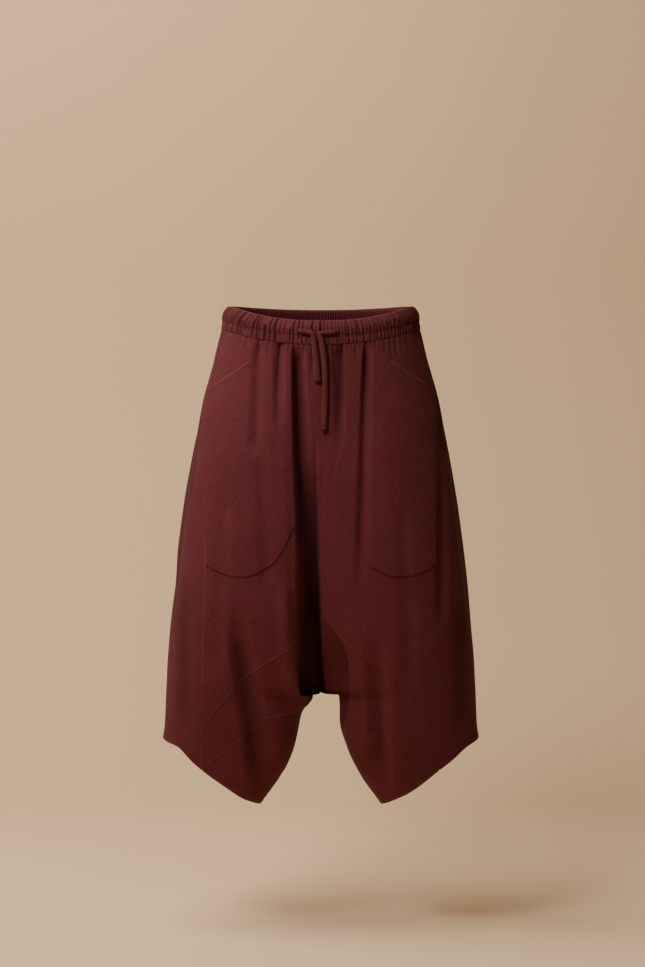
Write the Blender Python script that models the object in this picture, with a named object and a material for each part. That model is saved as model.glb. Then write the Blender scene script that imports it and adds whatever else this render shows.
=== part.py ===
"""Harem pants, filled out with no wearer: a gathered waistband with a drawstring, full front and back
panels with teardrop pockets, slanted leg bands across a dropped crotch, and lower legs with a pointed hem.

Metres. +Z is up and the front faces -Y. The origin is the middle of the waist, level with the top of
the waistband at the sides. Right and left are the wearer's: right is at -X.
"""

import math
from collections import namedtuple

import bmesh
import bpy
from mathutils import Vector
from mathutils.bvhtree import BVHTree

# Cloth
PANEL_WALL = 0.0020
POCKET_WALL = 0.0015
SEAM_STEP = 0.0003
CENTRE_GAP = 0.0002
POCKET_GAP = 0.0005
SECTION_POWER = 2.3

# Waistband
BAND_STATIONS = 160
BAND_DIP = 0.029
BAND_SEAM_GAP = 0.0005

# Grid of each panel
PANEL_COLUMNS = 20
COLUMN_SPREAD = 1.3
GATHER_ROWS = (0.0, 0.035, 0.08, 0.14, 0.21)
PANEL_ROWS = (0.28, 0.36, 0.44, 0.52, 0.60, 0.68, 0.76, 0.84, 0.92, 1.0)
LOWEST_STRAIGHT_ROW = 0.44
GATHER_HEIGHT = 0.0015
GATHER_REACH = 0.20
LEG_BAND_ROWS = (0.0, 0.22, 0.42, 0.58, 0.71, 0.80, 0.88, 1.0)
CROTCH_ROW = 0.80
LOWER_LEG_ROWS = 3
TIP_HEIGHT = 0.012
POCKET_COLUMNS = 13
POCKET_SPREAD = 1.4
POCKET_ROWS = 16
SIDE_SEAM = 0.5
SEAM_SAMPLES = 30
SEAT_CHECKS = 12
SEAT_ROUNDS = 8
SEAT_REACH = 0.006
DROP_HEIGHT = 0.03
NORMAL_STEP = 0.004
POCKET_SIDE_STATION = 0.494

# Drawstring
CORD_RADIUS = 0.0035
CORD_LIFT = 0.0006
FRONT_START = 0.2
FRONT_CHECKS = 4
KNOT_X = -0.0020
KNOT_Z = -0.0445
KNOT_HALF_WIDTH = 0.0095
KNOT_HALF_HEIGHT = 0.0082
KNOT_HALF_DEPTH = 0.0056
KNOT_GROOVE = 0.14
KNOT_GROOVE_WIDTH = 0.28
KNOT_GROOVE_X = 0.8
KNOT_GROOVE_Z = 0.6
KNOT_LIFT = 0.0003
RUN_STEP = 0.004
RUN_THICKNESS = 0.86
RUN_EXIT = 0.0015
RUN_BEND = 0.0055
RUN_BEND_LIFT = 0.0010
RUN_MIDDLE_LIFT = 0.0004
RUN_END_LIFT = 0.0008
TAIL_STEP = 0.0145

# The knot at the end of a tail: how far back from its end, and how wide against the cord.
Swell = namedtuple("Swell", "back width")
TAIL_KNOT = (
    Swell(0.0100, 1.00), Swell(0.0080, 1.28), Swell(0.0050, 1.38), Swell(0.0020, 1.25),
    Swell(0.0000, 0.70),
)

# Where the drawstring lies, seen from the front.
Spot = namedtuple("Spot", "x z")
SHORT_TAIL = (
    Spot(-0.0075, -0.0523), Spot(-0.0095, -0.0620), Spot(-0.0080, -0.0800),
    Spot(-0.0052, -0.1020), Spot(-0.0036, -0.1160), Spot(-0.0030, -0.1270),
)
LONG_TAIL = (
    Spot(0.0020, -0.0527), Spot(0.0046, -0.0680), Spot(0.0092, -0.0910), Spot(0.0118, -0.1150),
    Spot(0.0130, -0.1400), Spot(0.0126, -0.1650), Spot(0.0112, -0.1860), Spot(0.0085, -0.2040),
)
Run = namedtuple("Run", "name x z")
DRAWSTRING_RUNS = (
    Run("drawstring_run_right", -0.0333, -0.0460),
    Run("drawstring_run_left", 0.0280, -0.0485),
)

SHARP_ANGLE = 50.0
CLOTH_COLOUR = (0.098, 0.022, 0.024, 1.0)
CORD_COLOUR = (0.085, 0.018, 0.020, 1.0)

# The garment's level lines, from the band seam to the hem. side_x and side_z are its outermost point.
# inner_x and inner_z are its innermost point: the centre line above the crotch, where inner_x is
# negative because the two legs' ovals still run into each other, and the inner leg below it. front and
# back are how far it stands before and behind the sides, dip is how much the front hangs lower, and
# seam_x is where the side seam lies, seen from the front.
Level = namedtuple("Level", "name at side_x side_z inner_x inner_z front back dip seam_x")
LEVELS = (
    Level("band seam", 0.000, 0.1605, -0.038, -0.1605, -0.038, 0.1075, 0.1075, BAND_DIP, 0.1585),
    Level("high hip", 0.070, 0.1740, -0.090, -0.1690, -0.094, 0.1150, 0.1160, 0.024, 0.1700),
    Level("hip", 0.150, 0.1900, -0.150, -0.1500, -0.160, 0.1200, 0.1260, 0.016, 0.1800),
    Level("seat", 0.300, 0.2105, -0.250, -0.1150, -0.270, 0.1260, 0.1350, 0.006, 0.1815),
    Level("thigh", 0.470, 0.2267, -0.360, -0.0800, -0.400, 0.1280, 0.1340, 0.000, 0.1825),
    Level("low body", 0.620, 0.2385, -0.460, -0.0450, -0.510, 0.1240, 0.1280, 0.000, 0.1840),
    Level("rise", 0.730, 0.2442, -0.530, -0.0180, -0.585, 0.1170, 0.1200, 0.000, 0.1855),
    Level("crotch", 0.800, 0.2472, -0.575, 0.0000, -0.621, 0.1100, 0.1120, 0.000, 0.1865),
    Level("under crotch", 0.835, 0.2482, -0.597, 0.0230, -0.629, 0.1050, 0.1070, 0.000, 0.1870),
    Level("inner leg", 0.870, 0.2493, -0.618, 0.0333, -0.660, 0.1000, 0.1020, 0.000, 0.1880),
    Level("shin", 0.920, 0.2504, -0.647, 0.0430, -0.710, 0.0920, 0.0930, 0.000, 0.1890),
    Level("above hem", 0.960, 0.2515, -0.671, 0.0645, -0.755, 0.0830, 0.0840, 0.000, 0.1900),
    Level("hem", 1.000, 0.2545, -0.694, 0.0965, -0.799, 0.0720, 0.0730, 0.000, 0.1910),
)

CROTCH_LEVEL = next(row.at for row in LEVELS if row.name == "crotch")

# Seams as seen from the front or the back, the same on both legs: how far out and how far down. On the
# front the upper one meets the side seam, and the others run out at the hem.
Place = namedtuple("Place", "out down")
UPPER_LEG_SEAM = {
    "front": (
        Place(0.000, 0.487), Place(0.028, 0.524), Place(0.064, 0.555),
        Place(0.115, 0.589), Place(0.158, 0.634), Place(0.186, 0.672),
    ),
    "back": (
        Place(0.000, 0.487), Place(0.028, 0.524), Place(0.064, 0.555), Place(0.115, 0.589),
        Place(0.158, 0.634), Place(0.186, 0.672), Place(0.222, 0.716),
    ),
}
LOWER_LEG_SEAM = {
    "front": (
        Place(0.028, 0.641), Place(0.048, 0.650), Place(0.083, 0.655),
        Place(0.111, 0.677), Place(0.151, 0.706), Place(0.189, 0.738),
    ),
    "back": (
        Place(0.028, 0.641), Place(0.048, 0.650), Place(0.083, 0.658),
        Place(0.111, 0.681), Place(0.145, 0.714), Place(0.185, 0.741),
    ),
}
POCKET_INNER_EDGE = (
    Place(0.1108, 0.0914), Place(0.0970, 0.114), Place(0.0775, 0.153), Place(0.048, 0.205),
    Place(0.0245, 0.252), Place(0.0205, 0.283), Place(0.0255, 0.324), Place(0.0425, 0.360),
    Place(0.0576, 0.394),
)
# The deep centre fold swallows the right pocket's inner edge from here on.
DEEP_FOLD_LIP = 0.054
POCKET_LOWER_EDGE = (
    Place(0.0576, 0.394), Place(0.0795, 0.4197), Place(0.117, 0.434), Place(0.142, 0.4325),
    Place(0.1687, 0.423), Place(0.181, 0.415),
)
POCKET_MOUTH = (Place(0.1108, 0.0914), Place(0.144, 0.113), Place(0.1790, 0.136))

# The largest folds. x is across the garment, +X at the wearer's left, at the fold's top, middle and
# bottom; a depth below zero is a ridge. width is from the fold's line to where it ends.
Fold = namedtuple(
    "Fold", "name face top_x mid_x low_x top_z low_z top_width low_width top_depth low_depth"
)
FOLDS = (
    Fold("deep centre fold", "front", -0.041, -0.026, -0.012, -0.070, -0.650, 0.017, 0.034, 0.014, 0.058),
    Fold("right waist fold", "front", -0.066, -0.065, -0.064, -0.055, -0.190, 0.012, 0.014, 0.006, 0.004),
    Fold("right hip fold", "front", -0.098, -0.100, -0.103, -0.050, -0.250, 0.012, 0.016, 0.005, 0.004),
    Fold("left centre fold", "front", 0.022, 0.022, 0.021, -0.065, -0.250, 0.014, 0.016, 0.007, 0.005),
    Fold("left waist fold", "front", 0.074, 0.065, 0.057, -0.055, -0.420, 0.012, 0.020, 0.009, 0.006),
    Fold("left side recess", "front", 0.188, 0.191, 0.190, -0.140, -0.520, 0.012, 0.016, 0.005, 0.006),
    Fold("right leg fold", "front", -0.131, -0.122, -0.096, -0.500, -0.745, 0.024, 0.024, 0.010, 0.008),
    Fold("left leg fold", "front", 0.088, 0.090, 0.096, -0.560, -0.740, 0.020, 0.022, 0.008, 0.006),
    Fold("right crotch edge", "front", -0.040, -0.038, -0.032, -0.430, -0.640, 0.018, 0.024, -0.003, -0.008),
    Fold("left crotch edge", "front", 0.020, 0.044, 0.047, -0.480, -0.700, 0.022, 0.032, -0.004, -0.012),
    Fold("back centre fold", "back", 0.006, 0.000, -0.004, -0.120, -0.650, 0.018, 0.034, 0.008, 0.036),
    Fold("back right fold", "back", -0.080, -0.086, -0.090, -0.060, -0.420, 0.014, 0.022, 0.008, 0.007),
    Fold("back left fold", "back", 0.072, 0.082, 0.094, -0.060, -0.360, 0.014, 0.020, 0.007, 0.008),
    Fold("back right leg fold", "back", -0.110, -0.114, -0.104, -0.480, -0.740, 0.022, 0.024, 0.008, 0.009),
    Fold("back left leg fold", "back", 0.118, 0.112, 0.100, -0.500, -0.740, 0.022, 0.022, 0.009, 0.007),
)
FOLD_FADE = 0.16
CENTRE_BLEND = 0.030
FACE_BLEND = 0.35

# The waistband's section: how far down it is, how far its outer side stands from the inner side's top
# edge, the height of its gathers there, and the inner side where it has a row of its own.
BandRow = namedtuple("BandRow", "name down outer gather inner")
BAND_ROWS = (
    BandRow("top edge", 0.0000, 0.0022, 0.0003, 0.0000),
    BandRow("top puff", 0.0045, 0.0066, 0.0010, None),
    BandRow("upper puff", 0.0150, 0.0105, 0.0014, 0.0022),
    BandRow("pucker line", 0.0245, 0.0098, 0.0005, None),
    BandRow("lower puff", 0.0315, 0.0128, 0.0013, None),
    BandRow("seam", 0.0380, 0.0130, 0.0006, 0.0075),
)
BAND_TOP_HALF_WIDTH = 0.1475
BAND_TOP_FRONT = 0.0945
BAND_TOP_BACK = 0.0945


def smooth_curve(places, values):
    """Return a function through the values that stays between its neighbours."""
    steps = [places[k + 1] - places[k] for k in range(len(places) - 1)]
    rises = [(values[k + 1] - values[k]) / steps[k] for k in range(len(steps))]
    slopes = [rises[0]]
    for k in range(1, len(steps)):
        if rises[k - 1] * rises[k] <= 0.0:
            slopes.append(0.0)
        else:
            slopes.append(2.0 * rises[k - 1] * rises[k] / (rises[k - 1] + rises[k]))
    slopes.append(rises[-1])

    def value_at(place):
        place = min(max(place, places[0]), places[-1])
        k = 0
        while k < len(steps) - 1 and place > places[k + 1]:
            k += 1
        u = (place - places[k]) / steps[k]
        low = (1.0 + 2.0 * u) * (1.0 - u) ** 2 * values[k] + u * (1.0 - u) ** 2 * steps[k] * slopes[k]
        high = u * u * (3.0 - 2.0 * u) * values[k + 1] + u * u * (u - 1.0) * steps[k] * slopes[k + 1]
        return low + high

    return value_at


def smooth_step(low, high, value):
    """Rise from 0 at low to 1 at high."""
    u = min(max((value - low) / (high - low), 0.0), 1.0)
    return u * u * (3.0 - 2.0 * u)


LEVEL_PLACES = [row.at for row in LEVELS]
LEVEL_CURVES = {
    name: smooth_curve(LEVEL_PLACES, [getattr(row, name) for row in LEVELS])
    for name in ("side_x", "side_z", "inner_x", "inner_z", "front", "back", "dip", "seam_x")
}


def level_row(level):
    """Return the level line's sizes."""
    return {name: curve(level) for name, curve in LEVEL_CURVES.items()}


def oval_angle(row, out):
    """Return the angle round a leg's oval, from its inner point, at which it is this far out."""
    middle = (row["side_x"] + row["inner_x"]) / 2.0
    half = (row["side_x"] - row["inner_x"]) / 2.0
    share = min(max((middle - out) / half, -1.0), 1.0)
    return math.acos(math.copysign(abs(share) ** (SECTION_POWER / 2.0), share))


def oval_point(row, angle):
    """Return a point on a level line and the way out of it, for the side at +X."""
    middle = (row["side_x"] + row["inner_x"]) / 2.0
    half = (row["side_x"] - row["inner_x"]) / 2.0
    depth = row["front"] if angle < math.pi else row["back"]
    across = math.cos(angle)
    along = math.sin(angle)
    power = 2.0 / SECTION_POWER
    x = middle - half * math.copysign(abs(across) ** power, across)
    y = -depth * math.copysign(abs(along) ** power, along)
    start = max(row["inner_x"], 0.0)
    inward = (row["side_x"] - x) / (row["side_x"] - start)
    z = row["side_z"] + (row["inner_z"] - row["side_z"]) * inward - row["dip"] * max(along, 0.0)
    out_x = -math.copysign(abs(across) ** (2.0 - power), across) / half
    out_y = -math.copysign(abs(along) ** (2.0 - power), along) / depth
    return Vector((x, y, z)), Vector((out_x, out_y, 0.0)).normalized()


def angle_at(row, station):
    """Return the angle of a station: 0 at the front's inner edge, half at the side seam, 1 at the back's."""
    start = oval_angle(row, 0.0) if row["inner_x"] < 0.0 else 0.0
    seam = oval_angle(row, row["seam_x"])
    if station <= SIDE_SEAM:
        return start + (seam - start) * station / SIDE_SEAM
    end = 2.0 * math.pi - start
    return seam + (end - seam) * (station - SIDE_SEAM) / (1.0 - SIDE_SEAM)


def fold_line(fold, z):
    """Return the fold's x at this height, its place along it from 0 to 1, and its slope."""
    u = (z - fold.top_z) / (fold.low_z - fold.top_z)
    bend = 2.0 * (fold.top_x - 2.0 * fold.mid_x + fold.low_x)
    rise = fold.low_x - fold.top_x - bend
    x = fold.top_x + rise * u + bend * u * u
    slope = (rise + 2.0 * bend * u) / (fold.low_z - fold.top_z)
    return x, u, slope


def fold_depth(face, x, z):
    """Return how far the folds push the cloth in at a place seen from the front or the back."""
    depth = 0.0
    for fold in FOLDS:
        if fold.face != face:
            continue
        line_x, u, slope = fold_line(fold, z)
        if not 0.0 < u < 1.0:
            continue
        width = fold.top_width + (fold.low_width - fold.top_width) * u
        away = abs(x - line_x) / math.hypot(1.0, slope) / width
        if away >= 1.0:
            continue
        strength = fold.top_depth + (fold.low_depth - fold.top_depth) * u
        strength *= smooth_step(0.0, FOLD_FADE, u) * smooth_step(1.0, 1.0 - FOLD_FADE, u)
        depth += strength * (0.5 + 0.5 * math.cos(math.pi * away))
    return depth


def cloth_point(side, station, level):
    """Return a point of the cloth's outer side. side is -1 for the wearer's right and 1 for the left."""
    row = level_row(level)
    angle = angle_at(row, station)
    point, out = oval_point(row, angle)
    face = "front" if angle < math.pi else "back"
    facing = smooth_step(0.0, FACE_BLEND, abs(math.sin(angle)))
    depth = fold_depth(face, side * point.x, point.z) * facing
    if row["inner_x"] < 0.0:
        out.x *= smooth_step(0.0, CENTRE_BLEND, point.x)
        out.normalize()
    point -= out * depth
    return Vector((side * point.x, point.y, point.z))


def cloth_normal(side, station, level):
    """Return the way out of the cloth, from the points beside this one."""
    before = cloth_point(side, max(station - NORMAL_STEP, 0.0), level)
    after = cloth_point(side, min(station + NORMAL_STEP, 1.0), level)
    above = cloth_point(side, station, max(level - NORMAL_STEP, 0.0))
    below = cloth_point(side, station, min(level + NORMAL_STEP, 1.0))
    return ((after - before).cross(below - above) * side).normalized()


def find_place(face, out, down):
    """Return the station and level of a place seen from the front or the back.

    The station is counted from the centre, 0, to the side seam, a half, on both faces.
    """
    low, high = 0.0, 1.0
    for _ in range(40):
        level = (low + high) / 2.0
        row = level_row(level)
        start = max(row["inner_x"], 0.0)
        point = oval_point(row, oval_angle(row, max(out, start)))[0]
        if -point.z < down:
            low = level
        else:
            high = level
    row = level_row(level)
    start = angle_at(row, 0.0)
    seam = angle_at(row, SIDE_SEAM)
    if face == "back":
        seam = 2.0 * math.pi - seam
    angle = oval_angle(row, max(out, max(row["inner_x"], 0.0)))
    return min(max(SIDE_SEAM * (angle - start) / (seam - start), 0.0), SIDE_SEAM), level


def seam_level(face, places):
    """Return a function giving a seam's level at each station, up to just above the hem."""
    outs = [place.out for place in places]
    line = smooth_curve(outs, [place.down for place in places])
    spread = [outs[0] + (outs[-1] - outs[0]) * k / SEAM_SAMPLES for k in range(SEAM_SAMPLES + 1)]
    found = [find_place(face, out, line(out)) for out in spread]
    stations = [place[0] for place in found]
    levels = [place[1] for place in found]
    if stations[0] > 0.0:
        stations.insert(0, 0.0)
        levels.insert(0, levels[0])
    if stations[-1] < SIDE_SEAM - 0.001:
        rise = (levels[-1] - levels[-2]) / (stations[-1] - stations[-2])
        levels.append(levels[-1] + rise * (SIDE_SEAM - stations[-1]))
        stations.append(SIDE_SEAM)
    curve = smooth_curve(stations, levels)
    return lambda station: min(curve(station), 1.0 - TIP_HEIGHT)


def panel_stations(count):
    """Return stations from the centre to the side seam, closer together at the centre."""
    return [SIDE_SEAM * (k / count) ** COLUMN_SPREAD for k in range(count + 1)]


def stations_above_hem(stations, seam):
    """Return the stations up to the first at which a seam has run out at the hem."""
    kept = []
    for station in stations:
        kept.append(station)
        if seam(station) >= 1.0 - TIP_HEIGHT:
            break
    return kept


def inward(points, k, other):
    """Return the way from an edge's point towards another point, square to the edge."""
    along = (points[min(k + 1, len(points) - 1)] - points[max(k - 1, 0)]).normalized()
    step = other - points[k]
    return (step - along * step.dot(along)).normalized()


def pull_in(rows):
    """Move the rows' four edges in, so that pieces stay apart at their seams."""
    for edge, beside in ((0, 1), (-1, -2)):
        column = [line[edge] for line in rows]
        steps = [inward(column, k, line[beside]) * SEAM_STEP for k, line in enumerate(rows)]
        for line, step in zip(rows, steps):
            line[edge] = line[edge] + step
    for edge, beside in ((0, 1), (-1, -2)):
        line = rows[edge]
        rows[edge] = [
            point + inward(line, k, rows[beside][min(k, len(rows[beside]) - 1)]) * SEAM_STEP
            for k, point in enumerate(line)
        ]


def wall_mesh(name, outer_rows, inner_rows):
    """Make one closed wall from two stacks of rows. A row may have half as many steps as the one above."""
    mesh = bmesh.new()
    outer = [[mesh.verts.new(point) for point in line] for line in outer_rows]
    inner = [[mesh.verts.new(point) for point in line] for line in inner_rows]

    for stack, flip in ((outer, False), (inner, True)):
        for upper, lower in zip(stack, stack[1:]):
            if len(upper) == len(lower):
                for k in range(len(upper) - 1):
                    ring = (upper[k], upper[k + 1], lower[k + 1], lower[k])
                    mesh.faces.new(reversed(ring) if flip else ring)
            else:
                for k in range(len(lower) - 1):
                    a, b, c = upper[2 * k], upper[2 * k + 1], upper[2 * k + 2]
                    for ring in ((a, b, lower[k]), (b, lower[k + 1], lower[k]), (b, c, lower[k + 1])):
                        mesh.faces.new(reversed(ring) if flip else ring)
    rims = [(outer[0], inner[0], True), (outer[-1], inner[-1], False)]
    for column, flip in ((0, False), (-1, True)):
        rims.append(([line[column] for line in outer], [line[column] for line in inner], flip))
    for outside, inside, flip in rims:
        for k in range(len(outside) - 1):
            for ring in ((outside[k], outside[k + 1], inside[k + 1]), (outside[k], inside[k + 1], inside[k])):
                mesh.faces.new(reversed(ring) if flip else ring)
    bmesh.ops.recalc_face_normals(mesh, faces=mesh.faces[:])
    bmesh.ops.triangulate(mesh, faces=mesh.faces[:], quad_method="FIXED")
    data = bpy.data.meshes.new(name)
    mesh.to_mesh(data)
    mesh.free()
    return data


def add_object(name, data, material):
    """Put a mesh or a curve in the scene under its own name."""
    thing = bpy.data.objects.new(name, data)
    bpy.context.scene.collection.objects.link(thing)
    data.materials.append(material)
    if hasattr(data, "polygons"):
        data.shade_smooth()
        data.set_sharp_from_angle(angle=math.radians(SHARP_ANGLE))
    return thing


def make_material(name, colour):
    """Make a plain cloth material."""
    material = bpy.data.materials.new(name)
    material.use_nodes = True
    shader = material.node_tree.nodes["Principled BSDF"]
    shader.inputs["Base Color"].default_value = colour
    shader.inputs["Roughness"].default_value = 0.9
    shader.inputs["Metallic"].default_value = 0.0
    return material


def panel_rows(side, face, stations, top_level, low_level, row_places, full_height=False):
    """Return the outer and the inner points of one panel, row by row.

    Stations run from the centre to the side seam, and top_level and low_level give the levels of the
    panel's upper and lower edge at each. A full-height panel is gathered at the waist, and its upper rows
    follow the level lines.
    """
    outer_rows = []
    inner_rows = []
    for share in row_places:
        fine = full_height and share <= GATHER_ROWS[-1]
        places = list(stations)
        if fine:
            places = []
            for a, b in zip(stations, stations[1:]):
                places += [a, (a + b) / 2.0]
            places.append(stations[-1])
        outer = []
        inner = []
        for k, station in enumerate(places):
            top = LOWEST_STRAIGHT_ROW if full_height else top_level(station)
            if full_height and share <= LOWEST_STRAIGHT_ROW:
                level = share
            elif full_height:
                level = top + (low_level(station) - top) * (share - top) / (1.0 - top)
            else:
                level = top + (low_level(station) - top) * share
            place = station if face == "front" else 1.0 - station
            point = cloth_point(side, place, level)
            out = cloth_normal(side, place, level)
            if fine and 0 < k < len(places) - 1:
                wave = GATHER_HEIGHT * (1.0 - smooth_step(0.0, GATHER_REACH, share))
                point = point + out * (wave if k % 2 else -wave)
            outer.append(point)
            inner.append(point - out * PANEL_WALL)
        outer_rows.append(outer)
        inner_rows.append(inner)
    pull_in(outer_rows)
    pull_in(inner_rows)
    keep_centre_clear(side, outer_rows)
    keep_centre_clear(side, inner_rows)
    return outer_rows, inner_rows


def keep_centre_clear(side, rows):
    """Hold every point on its own side of the centre seam."""
    for line in rows:
        for point in line:
            point.x = side * max(side * point.x, CENTRE_GAP)


def band_ring(row, inner):
    """Return one ring of the waistband."""
    offset = row.inner if inner else row.outer
    ring = []
    for k in range(BAND_STATIONS):
        angle = 2.0 * math.pi * k / BAND_STATIONS
        wave = 0.0 if inner else (row.gather if k % 2 else -row.gather)
        reach = offset + wave
        along = math.sin(angle)
        depth = BAND_TOP_FRONT if along > 0.0 else BAND_TOP_BACK
        across = math.cos(angle)
        power = 2.0 / SECTION_POWER
        x = -(BAND_TOP_HALF_WIDTH + reach) * math.copysign(abs(across) ** power, across)
        y = -(depth + reach) * math.copysign(abs(along) ** power, along)
        z = -row.down - BAND_DIP * max(along, 0.0)
        ring.append(Vector((x, y, z)))
    return ring


def make_waistband(material):
    """Make the gathered casing, a closed ring."""
    mesh = bmesh.new()
    lift = Vector((0.0, 0.0, BAND_SEAM_GAP))
    rings = []
    for row in BAND_ROWS:
        ring = band_ring(row, False)
        if row is BAND_ROWS[-1]:
            ring = [point + lift for point in ring]
        rings.append([mesh.verts.new(point) for point in ring])
    for row in reversed([row for row in BAND_ROWS if row.inner is not None]):
        ring = band_ring(row, True)
        if row is BAND_ROWS[-1]:
            ring = [point + lift for point in ring]
        rings.append([mesh.verts.new(point) for point in ring])
    rings.append(rings[0])
    for upper, lower in zip(rings, rings[1:]):
        for k in range(BAND_STATIONS):
            n = (k + 1) % BAND_STATIONS
            mesh.faces.new((upper[k], lower[k], lower[n], upper[n]))
    bmesh.ops.recalc_face_normals(mesh, faces=mesh.faces[:])
    bmesh.ops.triangulate(mesh, faces=mesh.faces[:])
    data = bpy.data.meshes.new("waistband")
    mesh.to_mesh(data)
    mesh.free()
    return add_object("waistband", data, material)


def along_places(places):
    """Return a function giving the station and level at each share of a line of places."""
    found = [find_place("front", place.out, place.down) for place in places]
    lengths = [0.0]
    for a, b in zip(places, places[1:]):
        lengths.append(lengths[-1] + math.hypot(b.out - a.out, b.down - a.down))
    shares = [length / lengths[-1] for length in lengths]
    station = smooth_curve(shares, [place[0] for place in found])
    level = smooth_curve(shares, [place[1] for place in found])
    return lambda share: Vector((station(share), level(share)))


def pocket_places(side):
    """Return the stations and levels of a pocket's grid, from its mouth to its lower edge."""
    lip = DEEP_FOLD_LIP if side < 0 else 0.0
    inner = along_places([Place(max(place.out, lip), place.down) for place in POCKET_INNER_EDGE])
    mouth = along_places(POCKET_MOUTH)
    lower = along_places(POCKET_LOWER_EDGE)
    top, low = mouth(1.0), lower(1.0)
    rows = []
    for j in range(POCKET_ROWS + 1):
        v = j / POCKET_ROWS
        line = []
        for i in range(POCKET_COLUMNS + 1):
            u = (i / POCKET_COLUMNS) ** POCKET_SPREAD
            outer = top + (low - top) * v
            across = inner(v) * (1.0 - u) + outer * u
            downward = mouth(u) * (1.0 - v) + lower(u) * v
            corners = (mouth(0.0) * (1.0 - u) + top * u) * (1.0 - v)
            corners += (lower(0.0) * (1.0 - u) + low * u) * v
            line.append(across + downward - corners)
        rows.append(line)
    return rows


def seat_on(tree, points, outs, gap):
    """Raise a grid of points until every part of its cells clears the panel below by the gap."""
    shares = [k / SEAT_CHECKS for k in range(SEAT_CHECKS + 1)]
    for _ in range(SEAT_ROUNDS):
        lifts = [[0.0] * len(line) for line in points]
        for j in range(len(points) - 1):
            for i in range(len(points[0]) - 1):
                low_left, high_right = (j + 1, i), (j, i + 1)
                for corner in ((j, i), (j + 1, i + 1)):
                    triangle = (low_left, high_right, corner)
                    a, b, c = (points[m][n] for m, n in triangle)
                    out = sum((outs[m][n] for m, n in triangle), Vector()).normalized()
                    short = 0.0
                    for u in shares:
                        for v in shares:
                            spot = a.lerp(b, u).lerp(c, v)
                            hit = tree.ray_cast(spot + out * SEAT_REACH, -out, 2.0 * SEAT_REACH)[0]
                            if hit is not None:
                                short = max(short, gap - (spot - hit).dot(out))
                    for m, n in triangle:
                        lifts[m][n] = max(lifts[m][n], short)
        if max(max(line) for line in lifts) <= 0.0:
            return
        for j, line in enumerate(points):
            for i, point in enumerate(line):
                point += outs[j][i] * lifts[j][i]


def piece_tree(piece):
    """Return a piece's faces, to find the nearest one along a line."""
    return BVHTree.FromPolygons(
        [vertex.co for vertex in piece.data.vertices],
        [polygon.vertices for polygon in piece.data.polygons],
    )


def point_on_panel(tree, side, station, level):
    """Return the point of the panel's faces below a station and level."""
    row = level_row(level)
    point, out = oval_point(row, angle_at(row, station))
    point.x *= side
    out.x *= side
    hit = tree.ray_cast(point + out * DROP_HEIGHT, -out, 3.0 * DROP_HEIGHT)[0]
    return hit if hit is not None else cloth_point(side, station, level)


def make_pocket(side, name, panel, material):
    """Make a patch pocket from the panel's points, moved out."""
    tree = piece_tree(panel)
    inner_rows = []
    outs = []
    for line in pocket_places(side):
        spots = [(min(place.x, POCKET_SIDE_STATION), place.y) for place in line]
        outs.append([cloth_normal(side, station, level) for station, level in spots])
        inner_rows.append([
            point_on_panel(tree, side, station, level) + out * POCKET_GAP
            for (station, level), out in zip(spots, outs[-1])
        ])
    seat_on(tree, inner_rows, outs, POCKET_GAP)
    outer_rows = [
        [point + out * POCKET_WALL for point, out in zip(line, line_outs)]
        for line, line_outs in zip(inner_rows, outs)
    ]
    keep_centre_clear(side, inner_rows)
    keep_centre_clear(side, outer_rows)
    return add_object(name, wall_mesh(name, outer_rows, inner_rows), material)


def front_of(trees, x, z, across, upward):
    """Return how far forward the pieces stand within reach of a place seen from the front."""
    steps = [k / FRONT_CHECKS - 1.0 for k in range(2 * FRONT_CHECKS + 1)]
    found = 0.0
    for tree in trees:
        for u in steps:
            for v in steps:
                start = Vector((x + across * u, -FRONT_START, z + upward * v))
                hit = tree.ray_cast(start, Vector((0.0, 1.0, 0.0)), FRONT_START)[0]
                if hit is not None:
                    found = min(found, hit.y)
    return found


def hanging_route(trees, route):
    """Return a tail's points, each lying just clear of the cloth behind it."""
    points = smooth_route([Vector((spot.x, 0.0, spot.z)) for spot in route], TAIL_STEP)
    for point in points:
        point.y = front_of(trees, point.x, point.z, CORD_RADIUS, TAIL_STEP) - CORD_LIFT - CORD_RADIUS
    return points


def smooth_route(points, step):
    """Return points a step apart along a smooth curve through the given ones."""
    spots = [(points[k + 1] - points[k]).length for k in range(len(points) - 1)]
    lengths = [sum(spots[:k]) for k in range(len(points))]
    curves = [smooth_curve(lengths, [point[axis] for point in points]) for axis in range(3)]
    count = max(2, round(lengths[-1] / step))
    return [Vector([curve(lengths[-1] * k / count) for curve in curves]) for k in range(count + 1)]


def add_cord(name, points, radii, material):
    """Make a round cord along the points."""
    curve = bpy.data.curves.new(name, "CURVE")
    curve.dimensions = "3D"
    curve.bevel_depth = CORD_RADIUS
    curve.bevel_resolution = 2
    curve.use_fill_caps = True
    spline = curve.splines.new("POLY")
    spline.points.add(len(points) - 1)
    for spot, point, radius in zip(spline.points, points, radii):
        spot.co = (*point, 1.0)
        spot.radius = radius
    return add_object(name, curve, material)


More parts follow.
